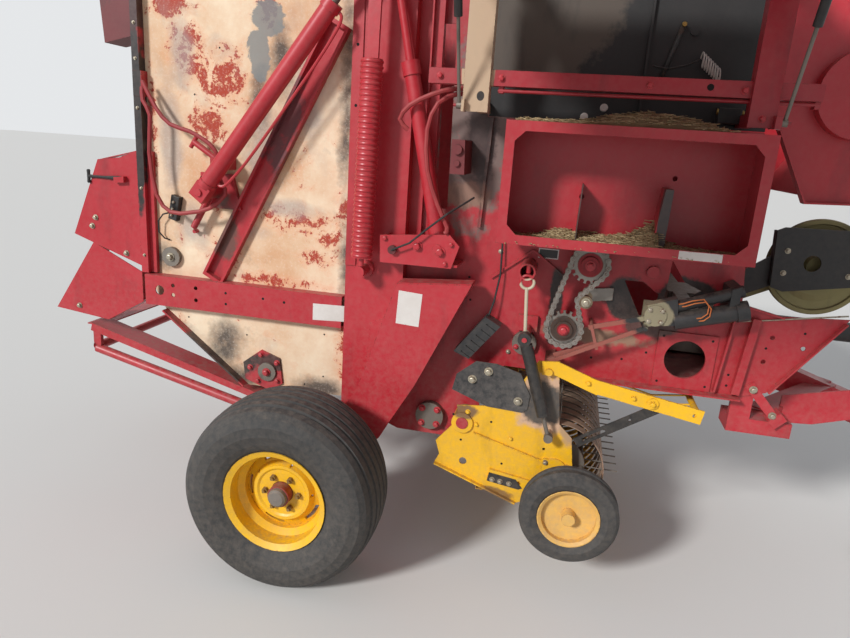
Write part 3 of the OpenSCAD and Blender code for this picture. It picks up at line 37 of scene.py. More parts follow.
def spot(x, y, z):
    return Vector((x / 1000 + AXLE_X, y / 1000 + AXLE_Y, z / 1000))


# Camera and studio. The camera is at eye height, abreast of the pickup, with a slightly rolled wide
# lens. The floor is a plain pale sheet and the light is an even sky with one soft high lamp.
pan, tilt, roll = (math.radians(a) for a in (11.589, 15.176, -3.844))
forward = Vector((-math.sin(pan) * math.cos(tilt), math.cos(pan) * math.cos(tilt), -math.sin(tilt)))
right = Vector((math.cos(pan), math.sin(pan), 0))
down = forward.cross(right)
turned_right = math.cos(roll) * right + math.sin(roll) * down
turned_down = -math.sin(roll) * right + math.cos(roll) * down
camera = bpy.data.objects.new("camera", bpy.data.cameras.new("camera"))
camera.data.lens, camera.data.sensor_width = 27.71, 36
camera.data.clip_end = 300
eye = spot(968, -3258, 1762)
camera.matrix_world = Matrix.Translation(eye) @ Matrix(
    (turned_right, -turned_down, -forward)).transposed().to_4x4()
bpy.context.scene.collection.objects.link(camera)
bpy.context.scene.camera = camera
bpy.context.scene.view_settings.view_transform = "Standard"


def lin(code):
    parts = [int(code[i:i + 2], 16) / 255 for i in (1, 3, 5)]
    return tuple(c / 12.92 if c <= 0.04045 else ((c + 0.055) / 1.055) ** 2.4 for c in parts) + (1,)


def add(tree, kind, settings=None, links=None):
    made = tree.nodes.new(kind)
    for key, value in (settings or {}).items():
        if isinstance(key, int) or key in made.inputs:
            made.inputs[key].default_value = value
        else:
            setattr(made, key, value)
    for key, socket in (links or {}).items():
        tree.links.new(socket, made.inputs[key])
    return made


world = bpy.data.worlds.new("studio_sky")
world.use_nodes = True
sky = world.node_tree
sky.nodes.clear()
path = add(sky, "ShaderNodeLightPath")
seen = add(sky, "ShaderNodeMath", {"operation": "MAXIMUM"},
           {0: path.outputs["Is Camera Ray"], 1: path.outputs["Is Glossy Ray"]})
seen = add(sky, "ShaderNodeMath", {"operation": "MAXIMUM"},
           {0: seen.outputs[0], 1: path.outputs["Is Transmission Ray"]})
glow = add(sky, "ShaderNodeBackground", {"Color": lin("#e6ebf2"), "Strength": 0.52})
backdrop = add(sky, "ShaderNodeBackground", {"Color": lin("#eef0f2"), "Strength": 0.92})
both = add(sky, "ShaderNodeMixShader", {}, {0: seen.outputs[0], 1: glow.outputs[0], 2: backdrop.outputs[0]})
add(sky, "ShaderNodeOutputWorld", {}, {0: both.outputs[0]})
bpy.context.scene.world = world

lamp = bpy.data.objects.new("soft_lamp", bpy.data.lights.new("soft_lamp", "SUN"))
lamp.data.energy, lamp.data.angle = 3.1, math.radians(9)
light_travel = Vector((0.62, 1.0, -0.62))
lamp.rotation_euler = light_travel.to_track_quat("-Z", "Y").to_euler()
bpy.context.scene.collection.objects.link(lamp)

floor_mesh = bpy.data.meshes.new("floor")
reach = 60
floor_mesh.from_pydata([(-reach, -reach, 0), (reach, -reach, 0), (reach, reach, 0), (-reach, reach, 0)], [],
                      [(0, 1, 2, 3)])
floor = bpy.data.objects.new("floor", floor_mesh)
bpy.context.scene.collection.objects.link(floor)
floor_sheet = bpy.data.materials.new("matt_floor_sheet")
floor_sheet.use_nodes = True
floor_look = floor_sheet.node_tree.nodes["Principled BSDF"]
floor_look.inputs["Base Color"].default_value = lin("#dcdad6")
floor_look.inputs["Roughness"].default_value = 0.9
floor_mesh.materials.append(floor_sheet)


# Chassis weldments: side sheets, bulkheads, axle and drawbar. They are sheet steel and tube
# sprayed with red enamel, now dusty, sooted by a fire and chipped along the edges.
def farm_enamel(name, coat, faded, dust, soot, chip, dusty=0.5, sooty=0.3, chipped=0.3, rough=0.42,
                patches=()):
    """Weathered coat in the colours coat, faded, dust, soot and chip, with how much of the last three
    shows. Each ragged patch is (x, z, reach_x, reach_z, tint, rag) in millimetres, and its |y| and reach_y
    follow where it keeps to one depth."""
    mat = bpy.data.materials.new(name)
    mat.use_nodes = True
    t = mat.node_tree
    paint = t.nodes["Principled BSDF"]
    at = add(t, "ShaderNodeTexCoord")
    # Sun-bleached clouds, 300 mm across
    cloud = add(t, "ShaderNodeTexNoise", {"Scale": 3.2, "Detail": 5.0, "Roughness": 0.6},
                {0: at.outputs["Object"]})
    fade = add(t, "ShaderNodeMapRange", {1: 0.38, 2: 0.68}, {0: cloud.outputs[0]})
    colour = add(t, "ShaderNodeMix", {"data_type": "RGBA", 6: lin(coat), 7: lin(faded)}, {0: fade.outputs[0]})
    # Ragged patches: stains that the fire left, and in a few materials painted shade, shadow and sunlight
    if patches:
        tear = add(t, "ShaderNodeTexNoise", {"Scale": 13.0, "Detail": 9.0, "Roughness": 0.65},
                   {0: at.outputs["Object"]})
    for x, z, reach_x, reach_z, tint, rag, *depth in patches:
        y, reach_y = depth or (0, 0)
        middle = spot(x, -y, z)
        outer, inner = 1.02 + rag / 2 + rag * 0.08, 0.98 + rag / 2 - rag * 0.08
        away = add(t, "ShaderNodeVectorMath", {"operation": "SUBTRACT", 1: middle}, {0: at.outputs["Object"]})
        scaled = add(t, "ShaderNodeVectorMath", {"operation": "MULTIPLY", 1: (
            1000 / reach_x, 1000 / reach_y if reach_y else 0, 1000 / reach_z)}, {0: away.outputs[0]})
        far = add(t, "ShaderNodeVectorMath", {"operation": "LENGTH"}, {0: scaled.outputs[0]})
        torn = add(t, "ShaderNodeMath", {"operation": "MULTIPLY_ADD", 1: rag},
                   {0: tear.outputs[0], 2: far.outputs["Value"]})
        inside = add(t, "ShaderNodeMapRange", {1: outer, 2: inner}, {0: torn.outputs[0]})
        colour = add(t, "ShaderNodeMix", {"data_type": "RGBA", 7: lin(tint)},
                     {0: inside.outputs[0], 6: colour.outputs[2]})
    # Chaff dust lies on what faces up and clings in 20 mm blotches elsewhere
    blotch = add(t, "ShaderNodeTexNoise", {"Scale": 42.0, "Detail": 6.0, "Roughness": 0.7},
                 {0: at.outputs["Object"]})
    facing = add(t, "ShaderNodeSeparateXYZ", {}, {0: at.outputs["Normal"]})
    top = add(t, "ShaderNodeMapRange", {1: 0.35, 2: 0.95}, {0: facing.outputs[2]})
    height = add(t, "ShaderNodeSeparateXYZ", {}, {0: at.outputs["Object"]})
    low = add(t, "ShaderNodeMapRange", {1: 1.25, 2: 0.2, 3: 0.0, 4: 0.5}, {0: height.outputs[2]})
    lying = add(t, "ShaderNodeMath", {"operation": "MAXIMUM"}, {0: top.outputs[0], 1: low.outputs[0]})
    cling = add(t, "ShaderNodeMath", {"operation": "MULTIPLY_ADD", 1: 0.8, 2: 0.12}, {0: lying.outputs[0]})
    spread = add(t, "ShaderNodeMapRange", {1: 0.36, 2: 0.72, 4: dusty * 2}, {0: blotch.outputs[0]})
    dusting = add(t, "ShaderNodeMath", {"operation": "MULTIPLY", "use_clamp": True},
                  {0: spread.outputs[0], 1: cling.outputs[0]})
    colour = add(t, "ShaderNodeMix", {"data_type": "RGBA", 7: lin(dust)},
                 {0: dusting.outputs[0], 6: colour.outputs[2]})
    # Soot and grease in streaks that run down
    run = add(t, "ShaderNodeMapping", {3: (1, 1, 0.35)}, {0: at.outputs["Object"]})
    streak = add(t, "ShaderNodeTexNoise", {"Scale": 7.0, "Detail": 7.0, "Roughness": 0.62},
                 {0: run.outputs[0]})
    black = add(t, "ShaderNodeMapRange", {1: 0.56, 2: 0.8, 4: sooty * 2}, {0: streak.outputs[0]})
    colour = add(t, "ShaderNodeMix", {"data_type": "RGBA", 7: lin(soot)},
                 {0: black.outputs[0], 6: colour.outputs[2]})
    # Paint is worn through on edges and chipped in spots of a few millimetres
    torn_at = 0.8 - chipped * 0.2
    soft = add(t, "ShaderNodeBevel", {"samples": 4, "Radius": 0.005})
    true = add(t, "ShaderNodeNewGeometry")
    flat = add(t, "ShaderNodeVectorMath", {"operation": "DOT_PRODUCT"},
               {0: soft.outputs[0], 1: true.outputs["True Normal"]})
    edge = add(t, "ShaderNodeMapRange", {1: 0.985, 2: 0.85, 4: 0.24}, {0: flat.outputs["Value"]})
    speck = add(t, "ShaderNodeTexNoise", {"Scale": 60.0, "Detail": 8.0, "Roughness": 0.72},
                {0: at.outputs["Object"]})
    bite = add(t, "ShaderNodeMath", {"operation": "ADD"}, {0: speck.outputs[0], 1: edge.outputs[0]})
    bare = add(t, "ShaderNodeMapRange", {1: torn_at, 2: torn_at + 0.04}, {0: bite.outputs[0]})
    colour = add(t, "ShaderNodeMix", {"data_type": "RGBA", 7: lin(chip)},
                 {0: bare.outputs[0], 6: colour.outputs[2]})
    t.links.new(colour.outputs[2], paint.inputs["Base Color"])
    dull = add(t, "ShaderNodeMath", {"operation": "MAXIMUM"}, {0: dusting.outputs[0], 1: bare.outputs[0]})
    gloss = add(t, "ShaderNodeMapRange", {3: rough, 4: 0.85}, {0: dull.outputs[0]})
    t.links.new(gloss.outputs[0], paint.inputs["Roughness"])
    peel = add(t, "ShaderNodeMath", {"operation": "MULTIPLY_ADD", 1: -0.5},
               {0: bare.outputs[0], 2: blotch.outputs[0]})
    bump = add(t, "ShaderNodeBump", {"Strength": 0.25, "Distance": 0.0012}, {"Height": peel.outputs[0]})
    t.links.new(bump.outputs[0], paint.inputs["Normal"])
    return mat


def metallic(mat, share):
    mat.node_tree.nodes["Principled BSDF"].inputs["Metallic"].default_value = share


def coat(mat, *names):
    for name in names:
        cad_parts[name].data.materials.clear()
        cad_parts[name].data.materials.append(mat)


red_enamel = farm_enamel("sprayed_red_enamel", "#a91a27", "#b42b36", "#a08478", "#2b1e1e", "#5b2a22",
                         dusty=0.36, sooty=0.22, chipped=0.2, rough=0.36)
coat(red_enamel, "bulkheads", "axle", "rear_wings", "gate_barrels", "oil_lines", "tension_springs",
     "density_cylinders", "drawbar", "bale_ramp", "door_r", "door_l", "hood")
# The side sheets carry soot beside the density cylinder, a painted shadow of it, and grease below the chain
coat(farm_enamel("sooted_side_sheet_enamel", "#a31925", "#af2833", "#a08478", "#2a1b1a", "#6b3a2c",
                 dusty=0.38, sooty=0.42, chipped=0.28, rough=0.4, patches=(
                     # The narrow dark streak at x 600 is soot and painted shadow of the density cylinder
                     (590, 1790, 150, 330, "#74605a", 2.2), (600, 1830, 60, 260, "#3c2a28", 2.4),
                     (560, 1560, 90, 60, "#8a6a5a", 2.0), (960, 1190, 26, 130, "#221716", 1.6),
                     (1000, 1010, 60, 30, "#241a18", 1.6), (1120, 1040, 190, 34, "#8f6d58", 2.2),
                     (1330, 1110, 110, 40, "#4a2a26", 2.0), (1240, 1210, 90, 90, "#1c1413", 1.2),
                     (1450, 1240, 110, 80, "#241817", 1.2),
                     (854, 1150, 60, 130, "#b9ae96", 0.05, 752, 40))), "side_sheets")
# Cross tubes, rear lamps, tailgate cover and hydraulic block took more smoke than the rest
sooted_red = farm_enamel("sooted_red_enamel", "#5e1519", "#6c1d22", "#7d675c", "#17110f", "#3c2420",
                         dusty=0.4, sooty=0.7, chipped=0.25, rough=0.55)
coat(sooted_red, "cross_tubes", "rear_lamps", "tailgate_cover", "hydraulic_block")
# Inner boards: flat panels whose matt black coat is partly burnt paint and partly painted shade of the
# chamber behind them. The brown-grey cloud at the top is a painted patch of sunlight.
coat(farm_enamel("burnt_board_painted_shade_and_sun", "#171616", "#201e1e", "#5c534b", "#0b0a0a", "#3a2c28", dusty=0.22,
                 sooty=0.3, chipped=0.15, rough=0.6, patches=((760, 2330, 330, 330, "#4d433a", 0.7),)),
     "inner_boards")

# Hexagon bolts and their washers on every bolted seat. They are pressed steel, zinc plated and gone
# dull, or painted over with the piece that they hold. One bolt is repeated over all the seats.
bolt_rows = (
    # body, |y| of the seat, across flats, on both sides, painted, places as (x, z)
    ("tailgate", 616, 17, True, True, ((-385, 700), (-330, 768), (-252, 738), (-250, 652), (-345, 640))),
    ("tailgate", 626, 24, True, True, ((-299, 690),)),
    ("tailgate", 626, 24, True, False, ((-770, 1180), (-640, 2330))),
    ("tailgate", 648, 9, True, False, ((-888, 1180), (-888, 1480), (-888, 1820), (-888, 2020), (-888, 2160))),
    ("tailgate", 648, 16, True, False, ((-1130, 1330), (-1150, 1290), (-1249, 902), (-980, 1180))),
    ("chassis", 759, 26, True, True, ((404, 1362), (497, 1348))),
    ("chassis", 759, 15, True, True, ((272, 1381), (540, 1380), (520, 1302))),
    ("chassis", 636, 19, True, True, ((512, 633), (444, 633), (444, 565), (512, 565))),
    ("chassis", 630, 14, True, True, ((854, 1018), (886, 963), (822, 963))),
    ("chassis", 730, 24, True, True, ((1074, 1347), (1004, 1085))),
    ("chassis", 716, 22, True, False, ((1076, 1201),)),
    ("chassis", 766, 12, False, False, ((1352, 1212), (1308, 1212), (1308, 1168), (1352, 1168))),
    ("chassis", 606, 12, True, False, ((720, 1350), (791, 930))),
    ("chassis", 870, 16, True, True, ((474, 1988), (1181, 1988), (1476, 1985), (690, 1988))),
    ("chassis", 890, 16, True, True, ((1537, 1900), (1537, 2300))),
    ("chassis", 246, 15, False, False, ((1890, 1415), (1889, 1320), (2130, 1490), (2140, 1330))),
    ("chassis", 616, 19, True, False, ((1758, 905), (1845, 808))),
    ("pickup", 750, 14, True, False, ((1082, 507), (997, 522), (1026, 441))),
    ("pickup", 740, 13, True, True, ((846, 600), (660, 690), (700, 640))),
    ("pickup", 754, 14, True, False, ((788, 408), (822, 405), (860, 401))),
    ("pickup", 746, 22, True, False, ((730, 880), (667, 838), (860, 770))),
    ("crop_guard", 760, 15, True, True, ((1124, 892), (1300, 856))),
    ("crop_guard", 768, 17, True, True, ((1372, 844),)),
)
# Yellow enamel of the rims, the windguard and the pickup's painted bolts
yellow_enamel = farm_enamel("sprayed_yellow_enamel", "#efb80b", "#e4af14", "#9a8262", "#33271b", "#6e4a24",
                            dusty=0.36, sooty=0.14, chipped=0.2, rough=0.33)
# One bolt, in parts of its width across flats: washer, hexagon head and turned crown
bolt_tree = bpy.data.node_groups.new("hex_bolts", "GeometryNodeTree")
for label, kind in (("Geometry", "NodeSocketGeometry"), ("Head Height", "NodeSocketFloat"),
                    ("Washer Radius", "NodeSocketFloat"), ("Finish", "NodeSocketMaterial")):
    bolt_tree.interface.new_socket(label, in_out="INPUT", socket_type=kind)
bolt_tree.interface.new_socket("Geometry", in_out="OUTPUT", socket_type="NodeSocketGeometry")
given = add(bolt_tree, "NodeGroupInput")
head = add(bolt_tree, "GeometryNodeMeshCylinder", {"Vertices": 6, "Radius": 0.56},
           {"Depth": given.outputs["Head Height"]})
lift = add(bolt_tree, "ShaderNodeMath", {"operation": "MULTIPLY_ADD", 1: 0.5, 2: 0.12},
           {0: given.outputs["Head Height"]})
lift = add(bolt_tree, "ShaderNodeCombineXYZ", {}, {2: lift.outputs[0]})
head = add(bolt_tree, "GeometryNodeTransform", {},
           {"Geometry": head.outputs["Mesh"], "Translation": lift.outputs[0]})
crown = add(bolt_tree, "GeometryNodeMeshCone",
            {"Vertices": 18, "Radius Top": 0.34, "Radius Bottom": 0.48, "Depth": 0.06})
rise = add(bolt_tree, "ShaderNodeMath", {"operation": "ADD", 1: 0.12}, {0: given.outputs["Head Height"]})
rise = add(bolt_tree, "ShaderNodeCombineXYZ", {}, {2: rise.outputs[0]})
crown = add(bolt_tree, "GeometryNodeTransform", {},
            {"Geometry": crown.outputs["Mesh"], "Translation": rise.outputs[0]})
washer = add(bolt_tree, "GeometryNodeMeshCylinder", {"Vertices": 20, "Depth": 0.14},
             {"Radius": given.outputs["Washer Radius"]})
washer = add(bolt_tree, "GeometryNodeTransform", {"Translation": (0, 0, 0.06)},
             {"Geometry": washer.outputs["Mesh"]})
bolt = add(bolt_tree, "GeometryNodeJoinGeometry")
for shape in (head, crown, washer):
    bolt_tree.links.new(shape.outputs[0], bolt.inputs[0])
out = add(bolt_tree, "GeometryNodeInputNamedAttribute", {"data_type": "FLOAT_VECTOR", "Name": "out"})
across = add(bolt_tree, "GeometryNodeInputNamedAttribute", {"data_type": "FLOAT", "Name": "across"})
turn = add(bolt_tree, "FunctionNodeAlignRotationToVector", {"axis": "Z"},
           {"Vector": out.outputs["Attribute"]})
placed = add(bolt_tree, "GeometryNodeInstanceOnPoints", {}, {"Points": given.outputs["Geometry"],
             "Instance": bolt.outputs[0], "Rotation": turn.outputs[0], "Scale": across.outputs["Attribute"]})
real = add(bolt_tree, "GeometryNodeRealizeInstances", {}, {0: placed.outputs[0]})
done = add(bolt_tree, "GeometryNodeSetMaterial", {},
           {"Geometry": real.outputs[0], "Material": given.outputs["Finish"]})
add(bolt_tree, "NodeGroupOutput", {}, {0: done.outputs[0]})
zinc = farm_enamel("dull_zinc_plate", "#b1a996", "#9c9484", "#8a7a6c", "#37302b", "#7a4d30",
                   dusty=0.3, sooty=0.3, chipped=0.25, rough=0.42)
metallic(zinc, 0.7)


def ridden(name, mesh, body):
    """Adds a mesh to the scene as a piece of that body."""
    piece = bpy.data.objects.new(name, mesh)
    bpy.context.scene.collection.objects.link(piece)
    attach(piece, body)


def made_plain(name, grid, tree, given_values, body):
    """Runs a node tree on a mesh and keeps the result as one plain piece of that body."""
    rough_piece = bpy.data.objects.new(name + "_seed", grid)
    bpy.context.scene.collection.objects.link(rough_piece)
    modifier = rough_piece.modifiers.new("shape", "NODES")
    modifier.node_group = tree
    for item in tree.interface.items_tree:
        if item.in_out == "INPUT" and item.name in given_values:
            modifier[item.identifier] = given_values[item.name]
    shape = bpy.data.meshes.new_from_object(rough_piece.evaluated_get(bpy.context.evaluated_depsgraph_get()))
    bpy.data.objects.remove(rough_piece)
    shape.materials.clear()
    shape.materials.append(given_values["Finish"])
    for polygon in shape.polygons:
        polygon.material_index = 0
    ridden(name, shape, body)


for body, painted in sorted({(row[0], row[4]) for row in bolt_rows}):
    seats = [(spot(x, side * y, z), side, size) for owner, y, size, twice, over, places in bolt_rows
             if (owner, over) == (body, painted) for x, z in places for side in ((-1, 1) if twice else (-1,))]
    grid = bpy.data.meshes.new(body + "_bolt_seats")
    grid.from_pydata([seat[0] for seat in seats], [], [])
    grid.attributes.new("out", "FLOAT_VECTOR", "POINT")
    grid.attributes.new("across", "FLOAT", "POINT")
    for i, (_, side, size) in enumerate(seats):
        grid.attributes["out"].data[i].vector = (0, side, 0)
        grid.attributes["across"].data[i].value = size / 1000
    finish, slot = zinc, "worn_steel"
    if painted:
        finish, slot = ((red_enamel, "red_paint") if body in ("chassis", "tailgate")
                        else (yellow_enamel, "yellow_paint"))
    made_plain(body + ("_painted_bolts" if painted else "_bolts"), grid, bolt_tree,
               {"Head Height": 0.62, "Washer Radius": 0.82, "Finish": finish}, body)

# Holes punched through the sheets that nothing is bolted into. A matt black disc, which sits 0.3 mm
# proud of the sheet, stands for the shadow in each.
disc_depth = 0.0006
hole_rows = (
    # body, |y| of the sheet, radius, on both sides, places as (x, z)
    ("chassis", 614, 5, False, ((1396, 1080), (1580, 1080), (1580, 890), (1396, 890))),
    ("chassis", 672, 6, True, ((102, 1880), (102, 2105), (150, 1240))),
    ("chassis", 606, 5, True, ((650, 1000), (560, 1100), (612, 1135), (530, 1650), (1900, 1150), (1775, 1075),
                               (1250, 960), (1130, 950), (1340, 1000), (600, 1230), (1660, 905),
                               (1660, 950))),
    ("tailgate", 660, 6, False, ((-480, 1050), (-480, 1000), (-300, 1045), (-200, 1040))),
    ("tailgate", 606, 4, True, ((-520, 2080), (-640, 1890), (-700, 900), (-30, 900), (-30, 700), (-120, 650),
                                (-406, 850))),
    ("pickup", 740, 5, True, ((600, 670), (640, 560), (760, 660), (820, 480), (900, 420))),
)
dark_hole = farm_enamel("shadowed_hole", "#0c0a0a", "#120f0f", "#2a2422", "#060606", "#1c1614", dusty=0.1,
                        sooty=0.2, chipped=0.0, rough=0.9)
for body in sorted({row[0] for row in hole_rows}):
    punched = bmesh.new()
    for owner, y, radius, twice, places in hole_rows:
        for x, z in places if owner == body else ():
            for side in (-1, 1) if twice else (-1,):
                seat = Matrix.Translation(spot(x, side * y, z)) @ Matrix.Rotation(math.pi / 2, 4, "X")
                bmesh.ops.create_cone(punched, cap_ends=True, segments=16, radius1=radius / 1000,
                                      radius2=radius / 1000, depth=disc_depth, matrix=seat)
    mesh = bpy.data.meshes.new(body + "_punched_holes")
    punched.to_mesh(mesh)
    punched.free()
    mesh.materials.append(dark_hole)
    ridden(body + "_punched_holes", mesh, body)


# Blank adhesive labels, cut from white and black vinyl film 0.4 to 0.5 mm thick and stuck on the
# enamel. Both films are a little duller than the enamel, and dust greys them.
def outline_plate(name, corners, side, y, thick, mat, body, bevel=0.0):
    """Plate with its corners given as (x, z), its back on |y| = y and its thickness outward."""
    shape = bmesh.new()
    back = [shape.verts.new(spot(x, side * y, z)) for x, z in corners]
    face = shape.faces.new(back)
    solid = bmesh.ops.extrude_face_region(shape, geom=[face])
    front = [v for v in solid["geom"] if isinstance(v, bmesh.types.BMVert)]
    bmesh.ops.translate(shape, verts=front, vec=(0, side * thick / 1000, 0))
    if bevel:
        edges = [e for e in shape.edges if all(v in front for v in e.verts)]
        bmesh.ops.bevel(shape, geom=edges, offset=bevel / 1000, segments=3, affect="EDGES", profile=0.5)
    bmesh.ops.recalc_face_normals(shape, faces=shape.faces)
    mesh = bpy.data.meshes.new(name)
    shape.to_mesh(mesh)
    shape.free()
    mesh.materials.append(mat)
    ridden(name, mesh, body)


beam_face, leg_face, box_face, sheet_face = 660, 766, 950, 606      # |y| of what each label sticks to
label_thick, film_thick = 0.5, 0.4
vinyl = farm_enamel("white_vinyl_film", "#d9d4cf", "#c9c2bb", "#9a8a7c", "#5c4a40", "#8c3a38",
                    dusty=0.3, sooty=0.18, chipped=0.12, rough=0.45)
outline_plate("beam_label", ((-65, 978), (87, 987), (87, 1057), (-65, 1052)), -1, beam_face, label_thick,
              vinyl, "tailgate")
outline_plate("axle_leg_label", ((336, 1040), (432, 1035), (440, 1172), (342, 1178)), -1, leg_face,
              label_thick, vinyl, "chassis")
outline_plate("twine_box_label", ((1345, 1436), (1483, 1436), (1483, 1464), (1345, 1464)), -1, box_face,
              label_thick, vinyl, "chassis")
black_film = farm_enamel("black_vinyl_film", "#1b1a1a", "#262423", "#7a6a5e", "#0c0b0b", "#5b2a22",
                         dusty=0.25, sooty=0.1, chipped=0.1, rough=0.4)
outline_plate("chain_label_border", ((871, 1339), (951, 1339), (951, 1379), (871, 1379)), -1, sheet_face,
              film_thick, vinyl, "chassis")
outline_plate("chain_label", ((875, 1343), (947, 1343), (947, 1375), (875, 1375)), -1,
              sheet_face + film_thick, film_thick, black_film, "chassis")

# Tailgate side sheets, whose red enamel burnt off to a chalky tan that flakes. Red flakes are
# left in islands a hand wide, with scorched brown rims, and soot lies along the borders.
burnt = bpy.data.materials.new("burnt_chalky_enamel")
burnt.use_nodes = True
t = burnt.node_tree
chalk = t.nodes["Principled BSDF"]
at = add(t, "ShaderNodeTexCoord")
wide = add(t, "ShaderNodeTexNoise", {"Scale": 2.6, "Detail": 6.0, "Roughness": 0.62},
           {0: at.outputs["Object"]})
share = add(t, "ShaderNodeMapRange", {1: 0.36, 2: 0.66}, {0: wide.outputs[0]})
colour = add(t, "ShaderNodeMix", {"data_type": "RGBA", 6: lin("#cfa27c"), 7: lin("#ead7bb")},
             {0: share.outputs[0]})


def near(tree, coordinates, places):
    """Nearness to the closest of some places (x, z, reach_x, reach_z): 1 at its middle, 0 outside."""
    total = None
    for x, z, reach_x, reach_z in places:
        away = add(tree, "ShaderNodeVectorMath", {"operation": "SUBTRACT", 1: spot(x, 0, z)},
                   {0: coordinates})
        scaled = add(tree, "ShaderNodeVectorMath",
                     {"operation": "MULTIPLY", 1: (1000 / reach_x, 0, 1000 / reach_z)},
                     {0: away.outputs[0]})
        far = add(tree, "ShaderNodeVectorMath", {"operation": "LENGTH"}, {0: scaled.outputs[0]})
        close = add(tree, "ShaderNodeMapRange", {1: 1.25, 2: 0.2}, {0: far.outputs["Value"]})
        total = close if total is None else add(tree, "ShaderNodeMath", {"operation": "MAXIMUM"},
                                                {0: total.outputs[0], 1: close.outputs[0]})
    return total


islands = near(t, at.outputs["Object"], (
    (-520, 1950, 170, 190), (-670, 2090, 120, 110), (-560, 1800, 130, 130), (-440, 1960, 70, 120),
    (-150, 1395, 210, 80), (-20, 1330, 90, 80), (-70, 1235, 130, 60), (-500, 1200, 100, 70),
    (-300, 1125, 290, 36), (-845, 1800, 30, 300), (40, 1480, 45, 80), (60, 850, 40, 160),
    (-740, 2250, 150, 80), (-300, 2240, 60, 90)))
torn = add(t, "ShaderNodeTexNoise", {"Scale": 10.0, "Detail": 11.0, "Roughness": 0.68, "Distortion": 0.6},
           {0: at.outputs["Object"]})
field = add(t, "ShaderNodeMath", {"operation": "MULTIPLY_ADD", 1: 0.24},
            {0: islands.outputs[0], 2: torn.outputs[0]})
halo = add(t, "ShaderNodeMapRange", {1: 0.53, 2: 0.76, 4: 0.8}, {0: field.outputs[0]})
colour = add(t, "ShaderNodeMix", {"data_type": "RGBA", 7: lin("#dda07a")},
             {0: halo.outputs[0], 6: colour.outputs[2]})
# The flakes themselves are 5 to 40 mm across
crumb = add(t, "ShaderNodeTexNoise", {"Scale": 46.0, "Detail": 9.0, "Roughness": 0.76, "Distortion": 0.4},
            {0: at.outputs["Object"]})
field = add(t, "ShaderNodeMath", {"operation": "MULTIPLY_ADD", 1: 0.75},
            {0: crumb.outputs[0], 2: field.outputs[0]})
flake = add(t, "ShaderNodeMapRange", {1: 1.05, 2: 1.085}, {0: field.outputs[0]})
colour = add(t, "ShaderNodeMix", {"data_type": "RGBA", 7: lin("#a63d29")},
             {0: flake.outputs[0], 6: colour.outputs[2]})
# Soft lilac-grey smears of smoke on the chalk
hazes = near(t, at.outputs["Object"], (
    (-330, 1640, 90, 230), (-230, 1440, 190, 50), (-760, 1700, 60, 220), (-400, 1330, 120, 60),
    (-700, 2060, 60, 160), (-120, 1900, 60, 200), (-680, 1330, 90, 120)))
drift = add(t, "ShaderNodeTexNoise", {"Scale": 4.5, "Detail": 5.0, "Roughness": 0.5, "Distortion": 1.2},
            {0: at.outputs["Object"]})
haze = add(t, "ShaderNodeMath", {"operation": "MULTIPLY_ADD", 1: 0.5},
           {0: hazes.outputs[0], 2: drift.outputs[0]})
haze = add(t, "ShaderNodeMapRange", {1: 0.58, 2: 0.9, 4: 0.6}, {0: haze.outputs[0]})
colour = add(t, "ShaderNodeMix", {"data_type": "RGBA", 7: lin("#9b908c")},
             {0: haze.outputs[0], 6: colour.outputs[2]})
borders = near(t, at.outputs["Object"], (
    (45, 1950, 45, 460), (60, 1230, 45, 220), (-240, 2060, 60, 170), (-350, 1880, 60, 150),
    (-850, 1170, 90, 80), (-520, 800, 100, 150), (-390, 650, 190, 70), (-765, 845, 110, 55),
    (-640, 735, 120, 60), (-490, 610, 120, 60), (-880, 1650, 40, 420), (-60, 640, 160, 60),
    (-300, 2480, 500, 90)))
smear = add(t, "ShaderNodeTexNoise", {"Scale": 6.0, "Detail": 9.0, "Roughness": 0.66},
            {0: at.outputs["Object"]})
smoke = add(t, "ShaderNodeMath", {"operation": "MULTIPLY_ADD", 1: 0.42},
            {0: borders.outputs[0], 2: smear.outputs[0]})
smoke = add(t, "ShaderNodeMapRange", {1: 0.6, 2: 0.95, 4: 0.9}, {0: smoke.outputs[0]})
colour = add(t, "ShaderNodeMix", {"data_type": "RGBA", 7: lin("#3d3735")},
             {0: smoke.outputs[0], 6: colour.outputs[2]})
grain = add(t, "ShaderNodeTexNoise", {"Scale": 90.0, "Detail": 6.0, "Roughness": 0.7},
            {0: at.outputs["Object"]})
pale = add(t, "ShaderNodeMapRange", {1: 0.52, 2: 0.8, 4: 0.5}, {0: grain.outputs[0]})
colour = add(t, "ShaderNodeMix", {"data_type": "RGBA", 7: lin("#e6dccf")},
             {0: pale.outputs[0], 6: colour.outputs[2]})
blue = near(t, at.outputs["Object"], ((-345, 2060, 70, 130), (-300, 2200, 90, 90)))
blue = add(t, "ShaderNodeMath", {"operation": "MULTIPLY_ADD", 1: 1.3},
           {0: torn.outputs[0], 2: blue.outputs[0]})
blue = add(t, "ShaderNodeMapRange", {1: 1.08, 2: 1.16, 4: 0.85}, {0: blue.outputs[0]})
colour = add(t, "ShaderNodeMix", {"data_type": "RGBA", 7: lin("#767c7c")},
             {0: blue.outputs[0], 6: colour.outputs[2]})
t.links.new(colour.outputs[2], chalk.inputs["Base Color"])
chalk.inputs["Roughness"].default_value = 0.82
lifted = add(t, "ShaderNodeMath", {"operation": "MULTIPLY_ADD", 1: 0.6},
             {0: flake.outputs[0], 2: grain.outputs[0]})
bump = add(t, "ShaderNodeBump", {"Strength": 0.4, "Distance": 0.0012}, {"Height": lifted.outputs[0]})
t.links.new(bump.outputs[0], chalk.inputs["Normal"])
coat(burnt, "tailgate_sheets")
